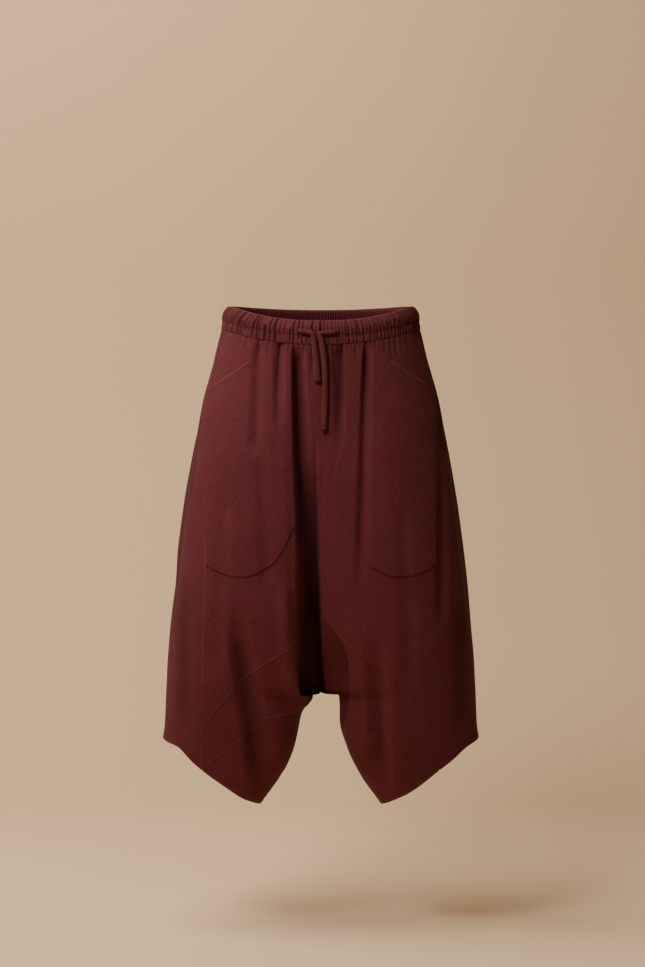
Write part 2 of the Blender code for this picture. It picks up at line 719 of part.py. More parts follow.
def make_knot(trees, material):
    """Make the drawstring's knot, a soft lump with a slanting groove."""
    mesh = bmesh.new()
    bmesh.ops.create_uvsphere(mesh, u_segments=16, v_segments=10, radius=1.0)
    for vertex in mesh.verts:
        x, y, z = vertex.co
        across = (x * KNOT_GROOVE_X + z * KNOT_GROOVE_Z) / KNOT_GROOVE_WIDTH
        groove = 1.0 - KNOT_GROOVE * math.exp(-across * across)
        vertex.co = Vector((x * KNOT_HALF_WIDTH, y * KNOT_HALF_DEPTH, z * KNOT_HALF_HEIGHT)) * groove
    bmesh.ops.triangulate(mesh, faces=mesh.faces[:])
    data = bpy.data.meshes.new("drawstring_knot")
    mesh.to_mesh(data)
    mesh.free()
    knot = add_object("drawstring_knot", data, material)
    behind = front_of(trees, KNOT_X, KNOT_Z, CORD_RADIUS, CORD_RADIUS)
    knot.location = (KNOT_X, behind - KNOT_HALF_DEPTH - KNOT_LIFT, KNOT_Z)


def make_drawstring(pieces, material):
    """Make the two runs out of the casing, the knot that joins them and the two free tails."""
    trees = [piece_tree(piece) for piece in pieces]
    make_knot(trees, material)
    for run in DRAWSTRING_RUNS:
        towards = math.copysign(1.0, KNOT_X - run.x)
        end_x = KNOT_X - towards * (KNOT_HALF_WIDTH + KNOT_LIFT)
        middle_x = (run.x + end_x) / 2.0
        half = abs(end_x - run.x) / 2.0
        front = front_of(trees, middle_x, run.z, half, CORD_RADIUS) - KNOT_LIFT
        lying = front - CORD_RADIUS - KNOT_LIFT
        points = [
            Vector((run.x, front, run.z)),
            Vector((run.x + towards * RUN_EXIT, front - CORD_RADIUS, run.z)),
            Vector((run.x + towards * RUN_BEND, lying - RUN_BEND_LIFT, run.z)),
            Vector((middle_x, lying - RUN_MIDDLE_LIFT, (run.z + KNOT_Z) / 2.0)),
            Vector((end_x, lying - RUN_END_LIFT, KNOT_Z)),
        ]
        points = smooth_route(points, RUN_STEP)
        add_cord(run.name, points, [RUN_THICKNESS] * len(points), material)
    for name, route in (("drawstring_tail_short", SHORT_TAIL), ("drawstring_tail_long", LONG_TAIL)):
        points = hanging_route(trees, route)
        last = points[-1]
        way = (last - points[-2]).normalized()
        points = points[:-1] + [last - way * swell.back for swell in TAIL_KNOT]
        radii = [1.0] * (len(points) - len(TAIL_KNOT)) + [swell.width for swell in TAIL_KNOT]
        add_cord(name, points, radii, material)


def make_legs_and_panels(material):
    """Make every panel of both halves, and the pockets on the front ones. Return the two fronts."""
    stations = panel_stations(PANEL_COLUMNS)
    lower_rows = [k / LOWER_LEG_ROWS for k in range(LOWER_LEG_ROWS + 1)]

    def hem(station):
        return 1.0

    fronts = []
    for face in ("front", "back"):
        upper_seam = seam_level(face, UPPER_LEG_SEAM[face])
        lower_seam = seam_level(face, LOWER_LEG_SEAM[face])
        band_stations = stations_above_hem(stations, upper_seam)
        lower_stations = stations_above_hem(stations, lower_seam)

        crotch_share = (CROTCH_LEVEL - upper_seam(0.0)) / (lower_seam(0.0) - upper_seam(0.0))
        leg_band_rows = [
            share * crotch_share / CROTCH_ROW if share <= CROTCH_ROW
            else 1.0 - (1.0 - share) * (1.0 - crotch_share) / (1.0 - CROTCH_ROW)
            for share in LEG_BAND_ROWS
        ]

        def panel_foot(station, seam=upper_seam, last=band_stations[-1]):
            return seam(station) if station <= last else 1.0

        def band_foot(station, seam=lower_seam, last=lower_stations[-1]):
            return seam(station) if station <= last else 1.0

        for side, hand in ((-1, "right"), (1, "left")):
            name = f"{face}_{hand}"
            rows = panel_rows(side, face, stations, None, panel_foot, GATHER_ROWS + PANEL_ROWS, True)
            panel = add_object(name, wall_mesh(name, *rows), material)
            if face == "front":
                fronts.append(panel)
                make_pocket(side, f"pocket_{hand}", panel, material)
            name = f"leg_band_{face}_{hand}"
            rows = panel_rows(side, face, band_stations, upper_seam, band_foot, leg_band_rows)
            add_object(name, wall_mesh(name, *rows), material)
            name = f"lower_leg_{face}_{hand}"
            rows = panel_rows(side, face, lower_stations, lower_seam, hem, lower_rows)
            add_object(name, wall_mesh(name, *rows), material)
    return fronts


def main():
    """Build the garment."""
    for thing in list(bpy.data.objects):
        bpy.data.objects.remove(thing)
    cloth = make_material("burgundy_cloth", CLOTH_COLOUR)
    waistband = make_waistband(cloth)
    fronts = make_legs_and_panels(cloth)
    make_drawstring([waistband] + fronts, make_material("drawstring_cotton", CORD_COLOUR))


main()
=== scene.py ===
"""Looks of the harem pants: cloth shells with their folds and gathers, sewing, drawstring and a plain studio.

Metres, in the frame's own axes: +Z is up, the front faces -Y, and the wearer's left is at +X.
"""

from __future__ import annotations

import logging
import math
import random
from collections.abc import Callable, Sequence
from dataclasses import dataclass, field, replace
from enum import Enum

import bmesh
import bpy
import numpy as np
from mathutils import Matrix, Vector
from mathutils.bvhtree import BVHTree


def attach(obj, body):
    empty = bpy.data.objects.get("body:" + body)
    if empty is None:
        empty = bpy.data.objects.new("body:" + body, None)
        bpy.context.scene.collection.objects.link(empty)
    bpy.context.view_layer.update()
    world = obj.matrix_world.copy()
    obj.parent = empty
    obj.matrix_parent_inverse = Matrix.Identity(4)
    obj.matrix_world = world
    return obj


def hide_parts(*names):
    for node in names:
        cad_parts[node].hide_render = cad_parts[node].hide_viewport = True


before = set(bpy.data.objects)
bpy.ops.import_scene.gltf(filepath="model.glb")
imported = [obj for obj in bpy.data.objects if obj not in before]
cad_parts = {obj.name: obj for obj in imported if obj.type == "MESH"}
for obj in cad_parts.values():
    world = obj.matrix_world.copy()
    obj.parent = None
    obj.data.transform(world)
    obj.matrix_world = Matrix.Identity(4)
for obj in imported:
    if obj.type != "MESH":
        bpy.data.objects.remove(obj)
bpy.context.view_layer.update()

LOG = logging.getLogger("harem_pants")

Array = np.ndarray
Material = bpy.types.Material
Mesh = bpy.types.Mesh
Node = bpy.types.Node
NodeTree = bpy.types.NodeTree
Object = bpy.types.Object
Socket = bpy.types.NodeSocket
Colour = tuple[float, float, float, float]
Point = tuple[float, float, float]
Pair = tuple[float, float]
# The points of a line on the cloth, and the ways out at them.
Line = tuple[Array, Array]

BODY = "root"
UV_NAME = "Cloth"


class Face(Enum):
    """The two faces of the garment."""

    FRONT = "front"
    BACK = "back"


class Hand(Enum):
    """The wearer's two sides, with the sign of X on each."""

    RIGHT = -1
    LEFT = 1

    @property
    def word(self) -> str:
        """Return the side's word, as the frame's node names use it."""
        return self.name.lower()


class Held(Enum):
    """How a sheet of cloth is held."""

    GATHERED = "gathered"
    HUNG = "hung"


class Edge(Enum):
    """The four edges of a grid of cloth."""

    TOP = "top"
    LOW = "low"
    FIRST = "first"
    LAST = "last"


# Form of the garment

@dataclass(frozen=True)
class Level:
    """One level line of a leg and its half of the body, from the band seam, 0, to the hem, 1.

    The power is that of the oval's inner half on the front.
    """

    name: str
    at: float
    side_x: float
    side_z: float
    inner_x: float
    inner_z: float
    front: float
    back: float
    dip: float
    seam_x: float
    power: float = 2.3


LEVELS = (
    Level("band seam", 0.000, 0.1605, -0.038, -0.1605, -0.038, 0.1075, 0.1075, 0.029, 0.1585),
    Level("high hip", 0.070, 0.1740, -0.090, -0.1690, -0.094, 0.1150, 0.1160, 0.024, 0.1700),
    Level("hip", 0.150, 0.1900, -0.150, -0.1500, -0.160, 0.1200, 0.1260, 0.016, 0.1800),
    Level("seat", 0.300, 0.2105, -0.250, -0.1150, -0.270, 0.1260, 0.1350, 0.006, 0.1815),
    Level("thigh", 0.470, 0.2267, -0.360, -0.0800, -0.400, 0.1280, 0.1340, 0.000, 0.1825),
    Level("low body", 0.620, 0.2385, -0.460, -0.0450, -0.510, 0.1240, 0.1280, 0.000, 0.1840),
    Level("rise", 0.730, 0.2442, -0.530, -0.0180, -0.585, 0.1170, 0.1200, 0.000, 0.1855),
    Level("crotch", 0.800, 0.2472, -0.575, 0.0000, -0.6215, 0.1100, 0.1120, 0.000, 0.1865, 2.4),
    Level("under crotch", 0.835, 0.2482, -0.597, 0.0275, -0.6245, 0.1055, 0.1070, 0.000, 0.1870, 2.9),
    Level("inner leg", 0.870, 0.2493, -0.618, 0.0325, -0.660, 0.1000, 0.1020, 0.000, 0.1880, 2.9),
    Level("shin", 0.920, 0.2504, -0.647, 0.0430, -0.710, 0.0915, 0.0930, 0.000, 0.1890, 2.7),
    Level("above hem", 0.960, 0.2515, -0.671, 0.0645, -0.755, 0.0800, 0.0840, 0.000, 0.1900, 2.5),
    Level("hem", 1.000, 0.2545, -0.694, 0.0965, -0.799, 0.0670, 0.0730, 0.000, 0.1910, 2.3),
)


@dataclass(frozen=True)
class Fold:
    """A fold seen from the front or the back. A depth below zero is a ridge."""

    name: str
    face: Face
    top_x: float
    mid_x: float
    low_x: float
    top_z: float
    low_z: float
    top_right: float
    low_right: float
    top_left: float
    low_left: float
    top_depth: float
    low_depth: float
    top_fade: float = 0.16
    low_fade: float = 0.16


# A fold's right and left are its widths towards -X and +X, from its line to where it ends.
FOLDS = (
    Fold("upper centre crease", Face.FRONT, -0.0400, -0.0350, -0.0262, -0.066, -0.420,
         0.0075, 0.012, 0.017, 0.032, 0.018, 0.030, 0.10, 0.42),
    Fold("deep centre fold", Face.FRONT, -0.0085, -0.0040, 0.0065, -0.190, -0.705,
         0.032, 0.045, 0.006, 0.005, 0.012, 0.066, 0.30, 0.22),
    Fold("deep fold lip", Face.FRONT, -0.0560, -0.0560, -0.0580, -0.080, -0.600,
         0.016, 0.026, 0.010, 0.014, -0.0012, -0.0016),
    Fold("right waist fold", Face.FRONT, -0.066, -0.065, -0.064, -0.052, -0.200,
         0.012, 0.014, 0.012, 0.014, 0.005, 0.003),
    Fold("right hip fold", Face.FRONT, -0.098, -0.100, -0.103, -0.050, -0.250,
         0.012, 0.016, 0.012, 0.016, 0.005, 0.004),
    Fold("left centre fold", Face.FRONT, 0.0320, 0.0330, 0.0290, -0.060, -0.250,
         0.017, 0.016, 0.0048, 0.010, 0.0115, 0.007, 0.14, 0.45),
    Fold("left waist fold", Face.FRONT, 0.0725, 0.0655, 0.0590, -0.055, -0.500,
         0.008, 0.014, 0.012, 0.022, 0.008, 0.006, 0.10, 0.40),
    Fold("left side recess", Face.FRONT, 0.188, 0.191, 0.190, -0.140, -0.520,
         0.012, 0.016, 0.012, 0.016, 0.005, 0.007),
    Fold("right leg fold", Face.FRONT, -0.1400, -0.1110, -0.0860, -0.470, -0.792,
         0.020, 0.030, 0.022, 0.036, 0.014, 0.022, 0.30, 0.26),
    Fold("left leg fold", Face.FRONT, 0.088, 0.092, 0.094, -0.500, -0.792,
         0.034, 0.048, 0.022, 0.026, 0.008, 0.016, 0.36, 0.26),
    Fold("right crotch edge", Face.FRONT, -0.054, -0.050, -0.034, -0.430, -0.650,
         0.018, 0.024, 0.014, 0.020, -0.003, -0.009),
    Fold("left crotch edge", Face.FRONT, 0.020, 0.050, 0.052, -0.480, -0.730,
         0.014, 0.016, 0.026, 0.052, -0.004, -0.012),
    Fold("left leg ridge", Face.FRONT, 0.120, 0.124, 0.128, -0.620, -0.790,
         0.016, 0.018, 0.016, 0.020, -0.003, -0.004),
    Fold("right leg ridge", Face.FRONT, -0.066, -0.062, -0.056, -0.620, -0.760,
         0.014, 0.016, 0.014, 0.016, -0.002, -0.003),
    Fold("left outer soft fold", Face.FRONT, 0.128, 0.134, 0.142, -0.300, -0.620,
         0.020, 0.024, 0.018, 0.020, 0.0025, 0.0035),
    Fold("right outer soft fold", Face.FRONT, -0.150, -0.156, -0.168, -0.280, -0.600,
         0.020, 0.024, 0.018, 0.022, 0.0022, 0.0030),
    Fold("left pocket soft fold", Face.FRONT, 0.098, 0.100, 0.104, -0.160, -0.420,
         0.012, 0.016, 0.012, 0.016, -0.0015, -0.0022),
    Fold("right pocket soft fold", Face.FRONT, -0.094, -0.088, -0.084, -0.200, -0.460,
         0.014, 0.018, 0.014, 0.020, 0.0018, 0.0026),
    Fold("back centre fold", Face.BACK, 0.006, 0.000, -0.004, -0.120, -0.650,
         0.018, 0.034, 0.014, 0.022, 0.008, 0.036),
    Fold("back right fold", Face.BACK, -0.080, -0.086, -0.090, -0.060, -0.420,
         0.014, 0.022, 0.012, 0.018, 0.008, 0.007),
    Fold("back left fold", Face.BACK, 0.072, 0.082, 0.094, -0.060, -0.360,
         0.014, 0.020, 0.014, 0.020, 0.007, 0.008),
    Fold("back right leg fold", Face.BACK, -0.110, -0.114, -0.104, -0.480, -0.740,
         0.022, 0.024, 0.022, 0.024, 0.008, 0.009),
    Fold("back left leg fold", Face.BACK, 0.118, 0.112, 0.100, -0.500, -0.740,
         0.022, 0.022, 0.022, 0.022, 0.009, 0.007),
    Fold("back right soft fold", Face.BACK, -0.040, -0.046, -0.050, -0.140, -0.520,
         0.014, 0.018, 0.012, 0.016, 0.003, 0.004),
    Fold("back left soft fold", Face.BACK, 0.036, 0.046, 0.054, -0.180, -0.560,
         0.014, 0.018, 0.014, 0.020, 0.004, 0.003),
    Fold("back right outer fold", Face.BACK, -0.130, -0.142, -0.160, -0.200, -0.600,
         0.018, 0.024, 0.018, 0.024, 0.004, 0.005),
    Fold("back left outer fold", Face.BACK, 0.126, 0.146, 0.158, -0.160, -0.520,
         0.018, 0.022, 0.018, 0.024, 0.003, 0.005),
)


@dataclass(frozen=True)
class EdgeSpot:
    """A spot of the left leg's fold edge, seen from the front, and how far the cloth inside it drops back."""

    z: float
    x: float
    drop: float


# The left leg's front turns under along this edge, and the crotch lies deeper inside it.
FOLD_EDGE = (
    EdgeSpot(-0.4600, -0.0040, 0.000),
    EdgeSpot(-0.4858, 0.0025, 0.002),
    EdgeSpot(-0.5077, 0.0144, 0.006),
    EdgeSpot(-0.5249, 0.0270, 0.010),
    EdgeSpot(-0.5375, 0.0348, 0.015),
    EdgeSpot(-0.5531, 0.0405, 0.020),
    EdgeSpot(-0.5688, 0.0436, 0.026),
    EdgeSpot(-0.5922, 0.0450, 0.031),
    EdgeSpot(-0.6235, 0.0450, 0.036),
    EdgeSpot(-0.6480, 0.0440, 0.034),
    EdgeSpot(-0.6640, 0.0415, 0.022),
    EdgeSpot(-0.6820, 0.0370, 0.000),
)


@dataclass(frozen=True)
class Place:
    """A place of a sewn line, seen from the front or the back."""

    out: float
    down: float


UPPER_SEAM_PLACES = (
    Place(0.000, 0.487), Place(0.028, 0.524), Place(0.064, 0.555),
    Place(0.115, 0.589), Place(0.158, 0.634), Place(0.186, 0.672),
)
UPPER_LEG_SEAM = {Face.FRONT: UPPER_SEAM_PLACES, Face.BACK: (*UPPER_SEAM_PLACES, Place(0.222, 0.716))}
LOWER_LEG_SEAM = {
    Face.FRONT: (
        Place(0.028, 0.641), Place(0.048, 0.650), Place(0.083, 0.655),
        Place(0.111, 0.677), Place(0.151, 0.706), Place(0.189, 0.738),
    ),
    Face.BACK: (
        Place(0.028, 0.641), Place(0.048, 0.650), Place(0.083, 0.658),
        Place(0.111, 0.681), Place(0.145, 0.714), Place(0.185, 0.741),
    ),
}


@dataclass(frozen=True)
class Gather:
    """A crease that runs down from the band seam, seen from the front."""

    x: float
    length: float
    width: float
    depth: float
    lean: float = 0.0


FRONT_GATHERS = tuple(
    Gather(*sizes)
    for sizes in (
        (-0.1480, 0.020, 0.0022, 0.0011, 0.05), (-0.1360, 0.030, 0.0024, 0.0013, 0.04),
        (-0.1265, 0.026, 0.0020, 0.0014, 0.02), (-0.1170, 0.040, 0.0026, 0.0018),
        (-0.1085, 0.018, 0.0020, 0.0011), (-0.0985, 0.055, 0.0026, 0.0022),
        (-0.0900, 0.020, 0.0020, 0.0010), (-0.0810, 0.028, 0.0024, 0.0013),
        (-0.0735, 0.016, 0.0018, 0.0010), (-0.0655, 0.165, 0.0032, 0.0032, 0.01),
        (-0.0570, 0.020, 0.0020, 0.0012), (-0.0500, 0.034, 0.0026, 0.0014, 0.04),
        (-0.0420, 0.060, 0.0030, 0.0026, 0.02), (-0.0335, 0.022, 0.0020, 0.0014, -0.06),
        (-0.0262, 0.038, 0.0024, 0.0020, -0.03), (-0.0190, 0.018, 0.0018, 0.0010),
        (-0.0130, 0.078, 0.0036, 0.0028), (-0.0050, 0.020, 0.0020, 0.0010),
        (0.0030, 0.040, 0.0026, 0.0014, 0.02), (0.0110, 0.060, 0.0034, 0.0020, 0.02),
        (0.0195, 0.120, 0.0042, 0.0026, 0.01), (0.0275, 0.030, 0.0022, 0.0014),
        (0.0335, 0.120, 0.0026, 0.0030), (0.0410, 0.022, 0.0018, 0.0012),
        (0.0475, 0.018, 0.0018, 0.0010), (0.0548, 0.046, 0.0024, 0.0018),
        (0.0610, 0.020, 0.0018, 0.0011), (0.0708, 0.120, 0.0034, 0.0034, -0.03),
        (0.0790, 0.022, 0.0020, 0.0012), (0.0855, 0.030, 0.0020, 0.0014),
        (0.0925, 0.018, 0.0018, 0.0010), (0.1000, 0.026, 0.0020, 0.0013),
        (0.1095, 0.050, 0.0024, 0.0020, -0.02), (0.1175, 0.042, 0.0024, 0.0020, -0.04),
        (0.1265, 0.022, 0.0020, 0.0012, -0.04), (0.1360, 0.034, 0.0022, 0.0016, -0.05),
        (0.1470, 0.030, 0.0022, 0.0014, -0.06),
    )
)


@dataclass(frozen=True)
class SideFold:
    """A long soft fold of the sides and back, by its place round the garment from front to back centre."""

    hand: Hand
    top_station: float
    low_station: float
    top: float
    low: float
    width: float
    depth: float


SIDE_FOLDS = (
    SideFold(Hand.RIGHT, 0.545, 0.560, 0.02, 0.46, 0.016, 0.0028),
    SideFold(Hand.RIGHT, 0.600, 0.590, 0.10, 0.72, 0.022, 0.0040),
    SideFold(Hand.RIGHT, 0.660, 0.640, 0.01, 0.38, 0.016, 0.0034),
    SideFold(Hand.RIGHT, 0.625, 0.665, 0.50, 0.97, 0.026, 0.0042),
    SideFold(Hand.RIGHT, 0.545, 0.535, 0.55, 0.99, 0.020, 0.0026),
    SideFold(Hand.RIGHT, 0.720, 0.715, 0.06, 0.60, 0.020, 0.0032),
    SideFold(Hand.LEFT, 0.540, 0.550, 0.01, 0.36, 0.014, 0.0030),
    SideFold(Hand.LEFT, 0.590, 0.610, 0.14, 0.80, 0.024, 0.0038),
    SideFold(Hand.LEFT, 0.645, 0.650, 0.02, 0.42, 0.018, 0.0032),
    SideFold(Hand.LEFT, 0.690, 0.680, 0.36, 0.94, 0.024, 0.0044),
    SideFold(Hand.LEFT, 0.550, 0.545, 0.60, 0.99, 0.020, 0.0030),
    SideFold(Hand.LEFT, 0.735, 0.745, 0.04, 0.50, 0.020, 0.0030),
)


@dataclass(frozen=True)
class HemSpot:
    """A place where the hem is lifted, or drops where the lift is below zero."""

    hand: Hand
    x: float
    width: float
    lift: float


HEM_SPOTS = (
    HemSpot(Hand.RIGHT, 0.2265, 0.0170, 0.0080),
    HemSpot(Hand.RIGHT, 0.1680, 0.0260, -0.0030),
    HemSpot(Hand.RIGHT, 0.1280, 0.0240, -0.0050),
    HemSpot(Hand.LEFT, 0.2320, 0.0170, 0.0046),
    HemSpot(Hand.LEFT, 0.1450, 0.0360, -0.0062),
)


@dataclass(frozen=True)
class InnerSpot:
    """A height at which a leg's inner edge is moved across, by a shift that is along X."""

    hand: Hand
    z: float
    height: float
    shift: float


INNER_SPOTS = (
    InnerSpot(Hand.RIGHT, -0.6290, 0.0155, 0.0165),
    InnerSpot(Hand.LEFT, -0.6120, 0.0120, 0.0015),
    InnerSpot(Hand.LEFT, -0.6760, 0.0230, -0.0038),
)


@dataclass(frozen=True)
class GatherRange:
    """The sizes between which a gather of the sides and the back is drawn."""

    length: Pair
    depth: Pair
    width: Pair


LONG_GATHERS = GatherRange((0.070, 0.150), (0.0022, 0.0034), (0.0026, 0.0036))
SHORT_GATHERS = GatherRange((0.018, 0.048), (0.0010, 0.0020), (0.0018, 0.0026))

WAIST_SAMPLES = 801
GIRTH_LEVELS = 41
GIRTH_SAMPLES = 161
SEAM_SAMPLES = 31
SEARCH_STEPS = 40
LEAST_LENGTH = 1e-9


def smooth_step(low: float, high: float, value: Array) -> Array:
    """Rise smoothly from 0 at low to 1 at high.

    Args:
        low: Value at which the result is 0.
        high: Value at which the result is 1.
        value: Values to read.

    Returns:
        The shares, between 0 and 1.
    """
    u = np.clip((value - low) / (high - low), 0.0, 1.0)
    return u * u * (3.0 - 2.0 * u)


def raised(wave: Array, power: Array | float) -> Array:
    """Return a sine or cosine raised to a power, with its sign kept, as a squarish oval needs it."""
    return np.copysign(np.abs(wave) ** power, wave)


def lengths_along(points: Array) -> Array:
    """Return how far along a line each of its points is."""
    return np.concatenate(([0.0], np.cumsum(np.linalg.norm(np.diff(points, axis=0), axis=1))))


def bend_between(k: Array, u: Array, step: Array, values: Array, slopes: Array) -> Array:
    """Read a smooth curve between its given values.

    Args:
        k: Number of the value before each place.
        u: Share of the way from it to the next one.
        step: Distance between those two.
        values: The values.
        slopes: The slopes at them.

    Returns:
        The curve's values at the places.
    """
    low = (1.0 + 2.0 * u) * (1.0 - u) ** 2 * values[k] + u * (1.0 - u) ** 2 * step * slopes[k]
    high = u * u * (3.0 - 2.0 * u) * values[k + 1] + u * u * (u - 1.0) * step * slopes[k + 1]
    return low + high


class SmoothCurve:
    """A curve through given values that stays between its neighbours."""

    def __init__(self, places: Sequence[float], values: Sequence[float]) -> None:
        """Store the places and values, and the slopes between them.

        Args:
            places: Places, each further on than the one before.
            values: The curve's values at them.
        """
        self.places = np.asarray(places, dtype=float)
        self.values = np.asarray(values, dtype=float)
        steps = np.diff(self.places)
        rises = np.diff(self.values) / steps
        before, after = rises[:-1], rises[1:]
        same_way = before * after > 0.0
        total = np.where(same_way, before + after, 1.0)
        middle = np.where(same_way, 2.0 * before * after / total, 0.0)
        self.slopes = np.concatenate(([rises[0]], middle, [rises[-1]]))
        self.steps = steps

    def __call__(self, place: Array | float) -> Array:
        """Read the curve.

        Args:
            place: Where to read it. Beyond its ends it stays level.

        Returns:
            The curve's values there.
        """
        place = np.clip(place, self.places[0], self.places[-1])
        k = np.clip(np.searchsorted(self.places, place, side="right") - 1, 0, len(self.steps) - 1)
        step = self.steps[k]
        return bend_between(k, (place - self.places[k]) / step, step, self.values, self.slopes)


@dataclass
class PantsForm:
    """The filled-out garment's outer surface, with its folds and gathers.

    A place on it is a station, round half the garment from the front's inner edge, 0, to the back's, 1, and
    a level, from the band seam, 0, to the hem, 1.
    """

    side_station: float = 0.5
    side_near: float = 0.001
    section_power: float = 2.3
    crotch_pull: float = 7.0
    crotch_blend: float = 0.30
    # Folds fade towards the sides, and the crotch drops behind a short wall at the left leg's edge.
    face_blend: float = 0.35
    centre_blend: float = 0.030
    edge_wall: float = 0.0036
    drop_blend: float = 0.004
    fold_merge: float = 0.0015
    # Painted shade of creases and folds, by their depth: colour darkened where the cloth lies deep.
    crease_scale: float = 0.003
    fold_dark: float = 1.75
    fold_range: Pair = (0.004, 0.040)
    # How far from the centre or the inner edge the legs' inner shifts reach, and at which levels.
    inner_reach: float = 0.032
    inner_full: float = 0.006
    centre_reach: float = 0.018
    leg_levels: Pair = (0.72, 0.82)
    hem_levels: Pair = (0.88, 1.0)
    # The halves overlap at the centre, wherever their ovals cross it by more than the least.
    centre_lap: float = 0.0007
    least_crossing: float = 0.0002
    gather_spacing: float = 0.0078
    spacing_range: Pair = (0.65, 1.4)
    gather_lean: float = 0.04
    gather_end: float = 0.003
    gather_seed: int = 11
    long_share: float = 0.18
    gather_width: float = 0.62
    gather_opening: float = 2.2
    least_gather: float = 0.05
    gather_full: float = 0.10
    gather_power: float = 1.5
    gather_reach: float = 5.0
    other_side: float = 0.02
    side_fade: float = 0.25
    side_low_fade: float = 0.7
    curves: dict[str, SmoothCurve] = field(init=False)
    gathers: list[tuple[float, Gather]] = field(init=False)

    def __post_init__(self) -> None:
        """Build the level curves, then place the gathers round the waist."""
        places = [row.at for row in LEVELS]
        names = ("side_x", "side_z", "inner_x", "inner_z", "front", "back", "dip", "seam_x", "power")
        self.curves = {name: SmoothCurve(places, [getattr(row, name) for row in LEVELS]) for name in names}
        spots = [spot.z for spot in reversed(FOLD_EDGE)]
        self.edge_x = SmoothCurve(spots, [spot.x for spot in reversed(FOLD_EDGE)])
        self.edge_drop = SmoothCurve(spots, [spot.drop for spot in reversed(FOLD_EDGE)])
        self._measure_waist()
        self._place_gathers()

    def _measure_waist(self) -> None:
        """Measure how far round the waist each station is, and the half girth at each level."""
        self.waist_stations = np.linspace(0.0, 1.0, WAIST_SAMPLES)
        points = self.oval_points(self.waist_stations, np.zeros(WAIST_SAMPLES))[0]
        self.waist_lengths = lengths_along(points)
        self.waist_x = points[:, 0]
        self.girth_levels = np.linspace(0.0, 1.0, GIRTH_LEVELS)
        round_half = np.linspace(0.0, 1.0, GIRTH_SAMPLES)
        girths = []
        for level in self.girth_levels:
            ring = self.oval_points(round_half, np.full(GIRTH_SAMPLES, level))[0]
            girths.append(np.linalg.norm(np.diff(ring, axis=0), axis=1).sum())
        self.girths = np.array(girths)

    def _place_gathers(self) -> None:
        """Put the front's own gathers where they lie, and uneven ones everywhere else."""
        half = len(self.waist_stations) // 2
        front_x, front_length = self.waist_x[: half + 1], self.waist_lengths[: half + 1]
        self.gathers = [
            (math.copysign(float(np.interp(abs(crease.x), front_x, front_length)), crease.x), crease)
            for crease in FRONT_GATHERS
        ]
        last = max(abs(place) for place, _crease in self.gathers)
        draw = random.Random(self.gather_seed)
        for hand in Hand:
            place = last + self.gather_spacing
            while place < self.waist_lengths[-1] - self.gather_end:
                kind = LONG_GATHERS if draw.random() < self.long_share else SHORT_GATHERS
                length = draw.uniform(*kind.length)
                depth = draw.uniform(*kind.depth)
                width = draw.uniform(*kind.width)
                lean = draw.uniform(-self.gather_lean, self.gather_lean)
                self.gathers.append((hand.value * place, Gather(0.0, length, width, depth, lean)))
                place += self.gather_spacing * draw.uniform(*self.spacing_range)

    def sizes(self, level: Array) -> dict[str, Array]:
        """Return the level lines' sizes at the given levels."""
        return {name: curve(level) for name, curve in self.curves.items()}

    def oval_angle(self, sizes: dict[str, Array], out: Array, face: Face = Face.FRONT) -> Array:
        """Return the angle round a leg's oval at which it is this far out.

        Args:
            sizes: Sizes of the level lines.
            out: Distances from the centre.
            face: Front or back: only the front's inner half is squarer.

        Returns:
            Angles from the oval's inner point.
        """
        middle = (sizes["side_x"] + sizes["inner_x"]) / 2.0
        half = (sizes["side_x"] - sizes["inner_x"]) / 2.0
        share = np.clip((middle - out) / half, -1.0, 1.0)
        power = np.where((share > 0.0) & (face is Face.FRONT), sizes["power"], self.section_power)
        return np.arccos(raised(share, power / 2.0))

    def angle(self, sizes: dict[str, Array], station: Array) -> Array:
        """Turn stations into angles round the ovals.

        Args:
            sizes: Sizes of the level lines.
            station: Places round the half garment.

        Returns:
            Angles from the ovals' inner point, past the side and on round the back.
        """
        centre = np.zeros_like(station)
        start = np.where(sizes["inner_x"] < 0.0, self.oval_angle(sizes, centre), 0.0)
        end = np.where(sizes["inner_x"] < 0.0, self.oval_angle(sizes, centre, Face.BACK), 0.0)
        seam = self.oval_angle(sizes, sizes["seam_x"])
        # Near the crotch only the cloth by the centre follows the centre line.
        share = np.clip(station / self.side_station, 0.0, 1.0)
        near = (1.0 - share) ** (1.0 + self.crotch_pull * np.exp(-start / self.crotch_blend))
        front = seam * share + start * near
        share = np.clip((station - self.side_station) / (1.0 - self.side_station), 0.0, 1.0)
        near = share ** (1.0 + self.crotch_pull * np.exp(-end / self.crotch_blend))
        back = seam + (2.0 * math.pi - seam) * share - end * near
        return np.where(station <= self.side_station, front, back)

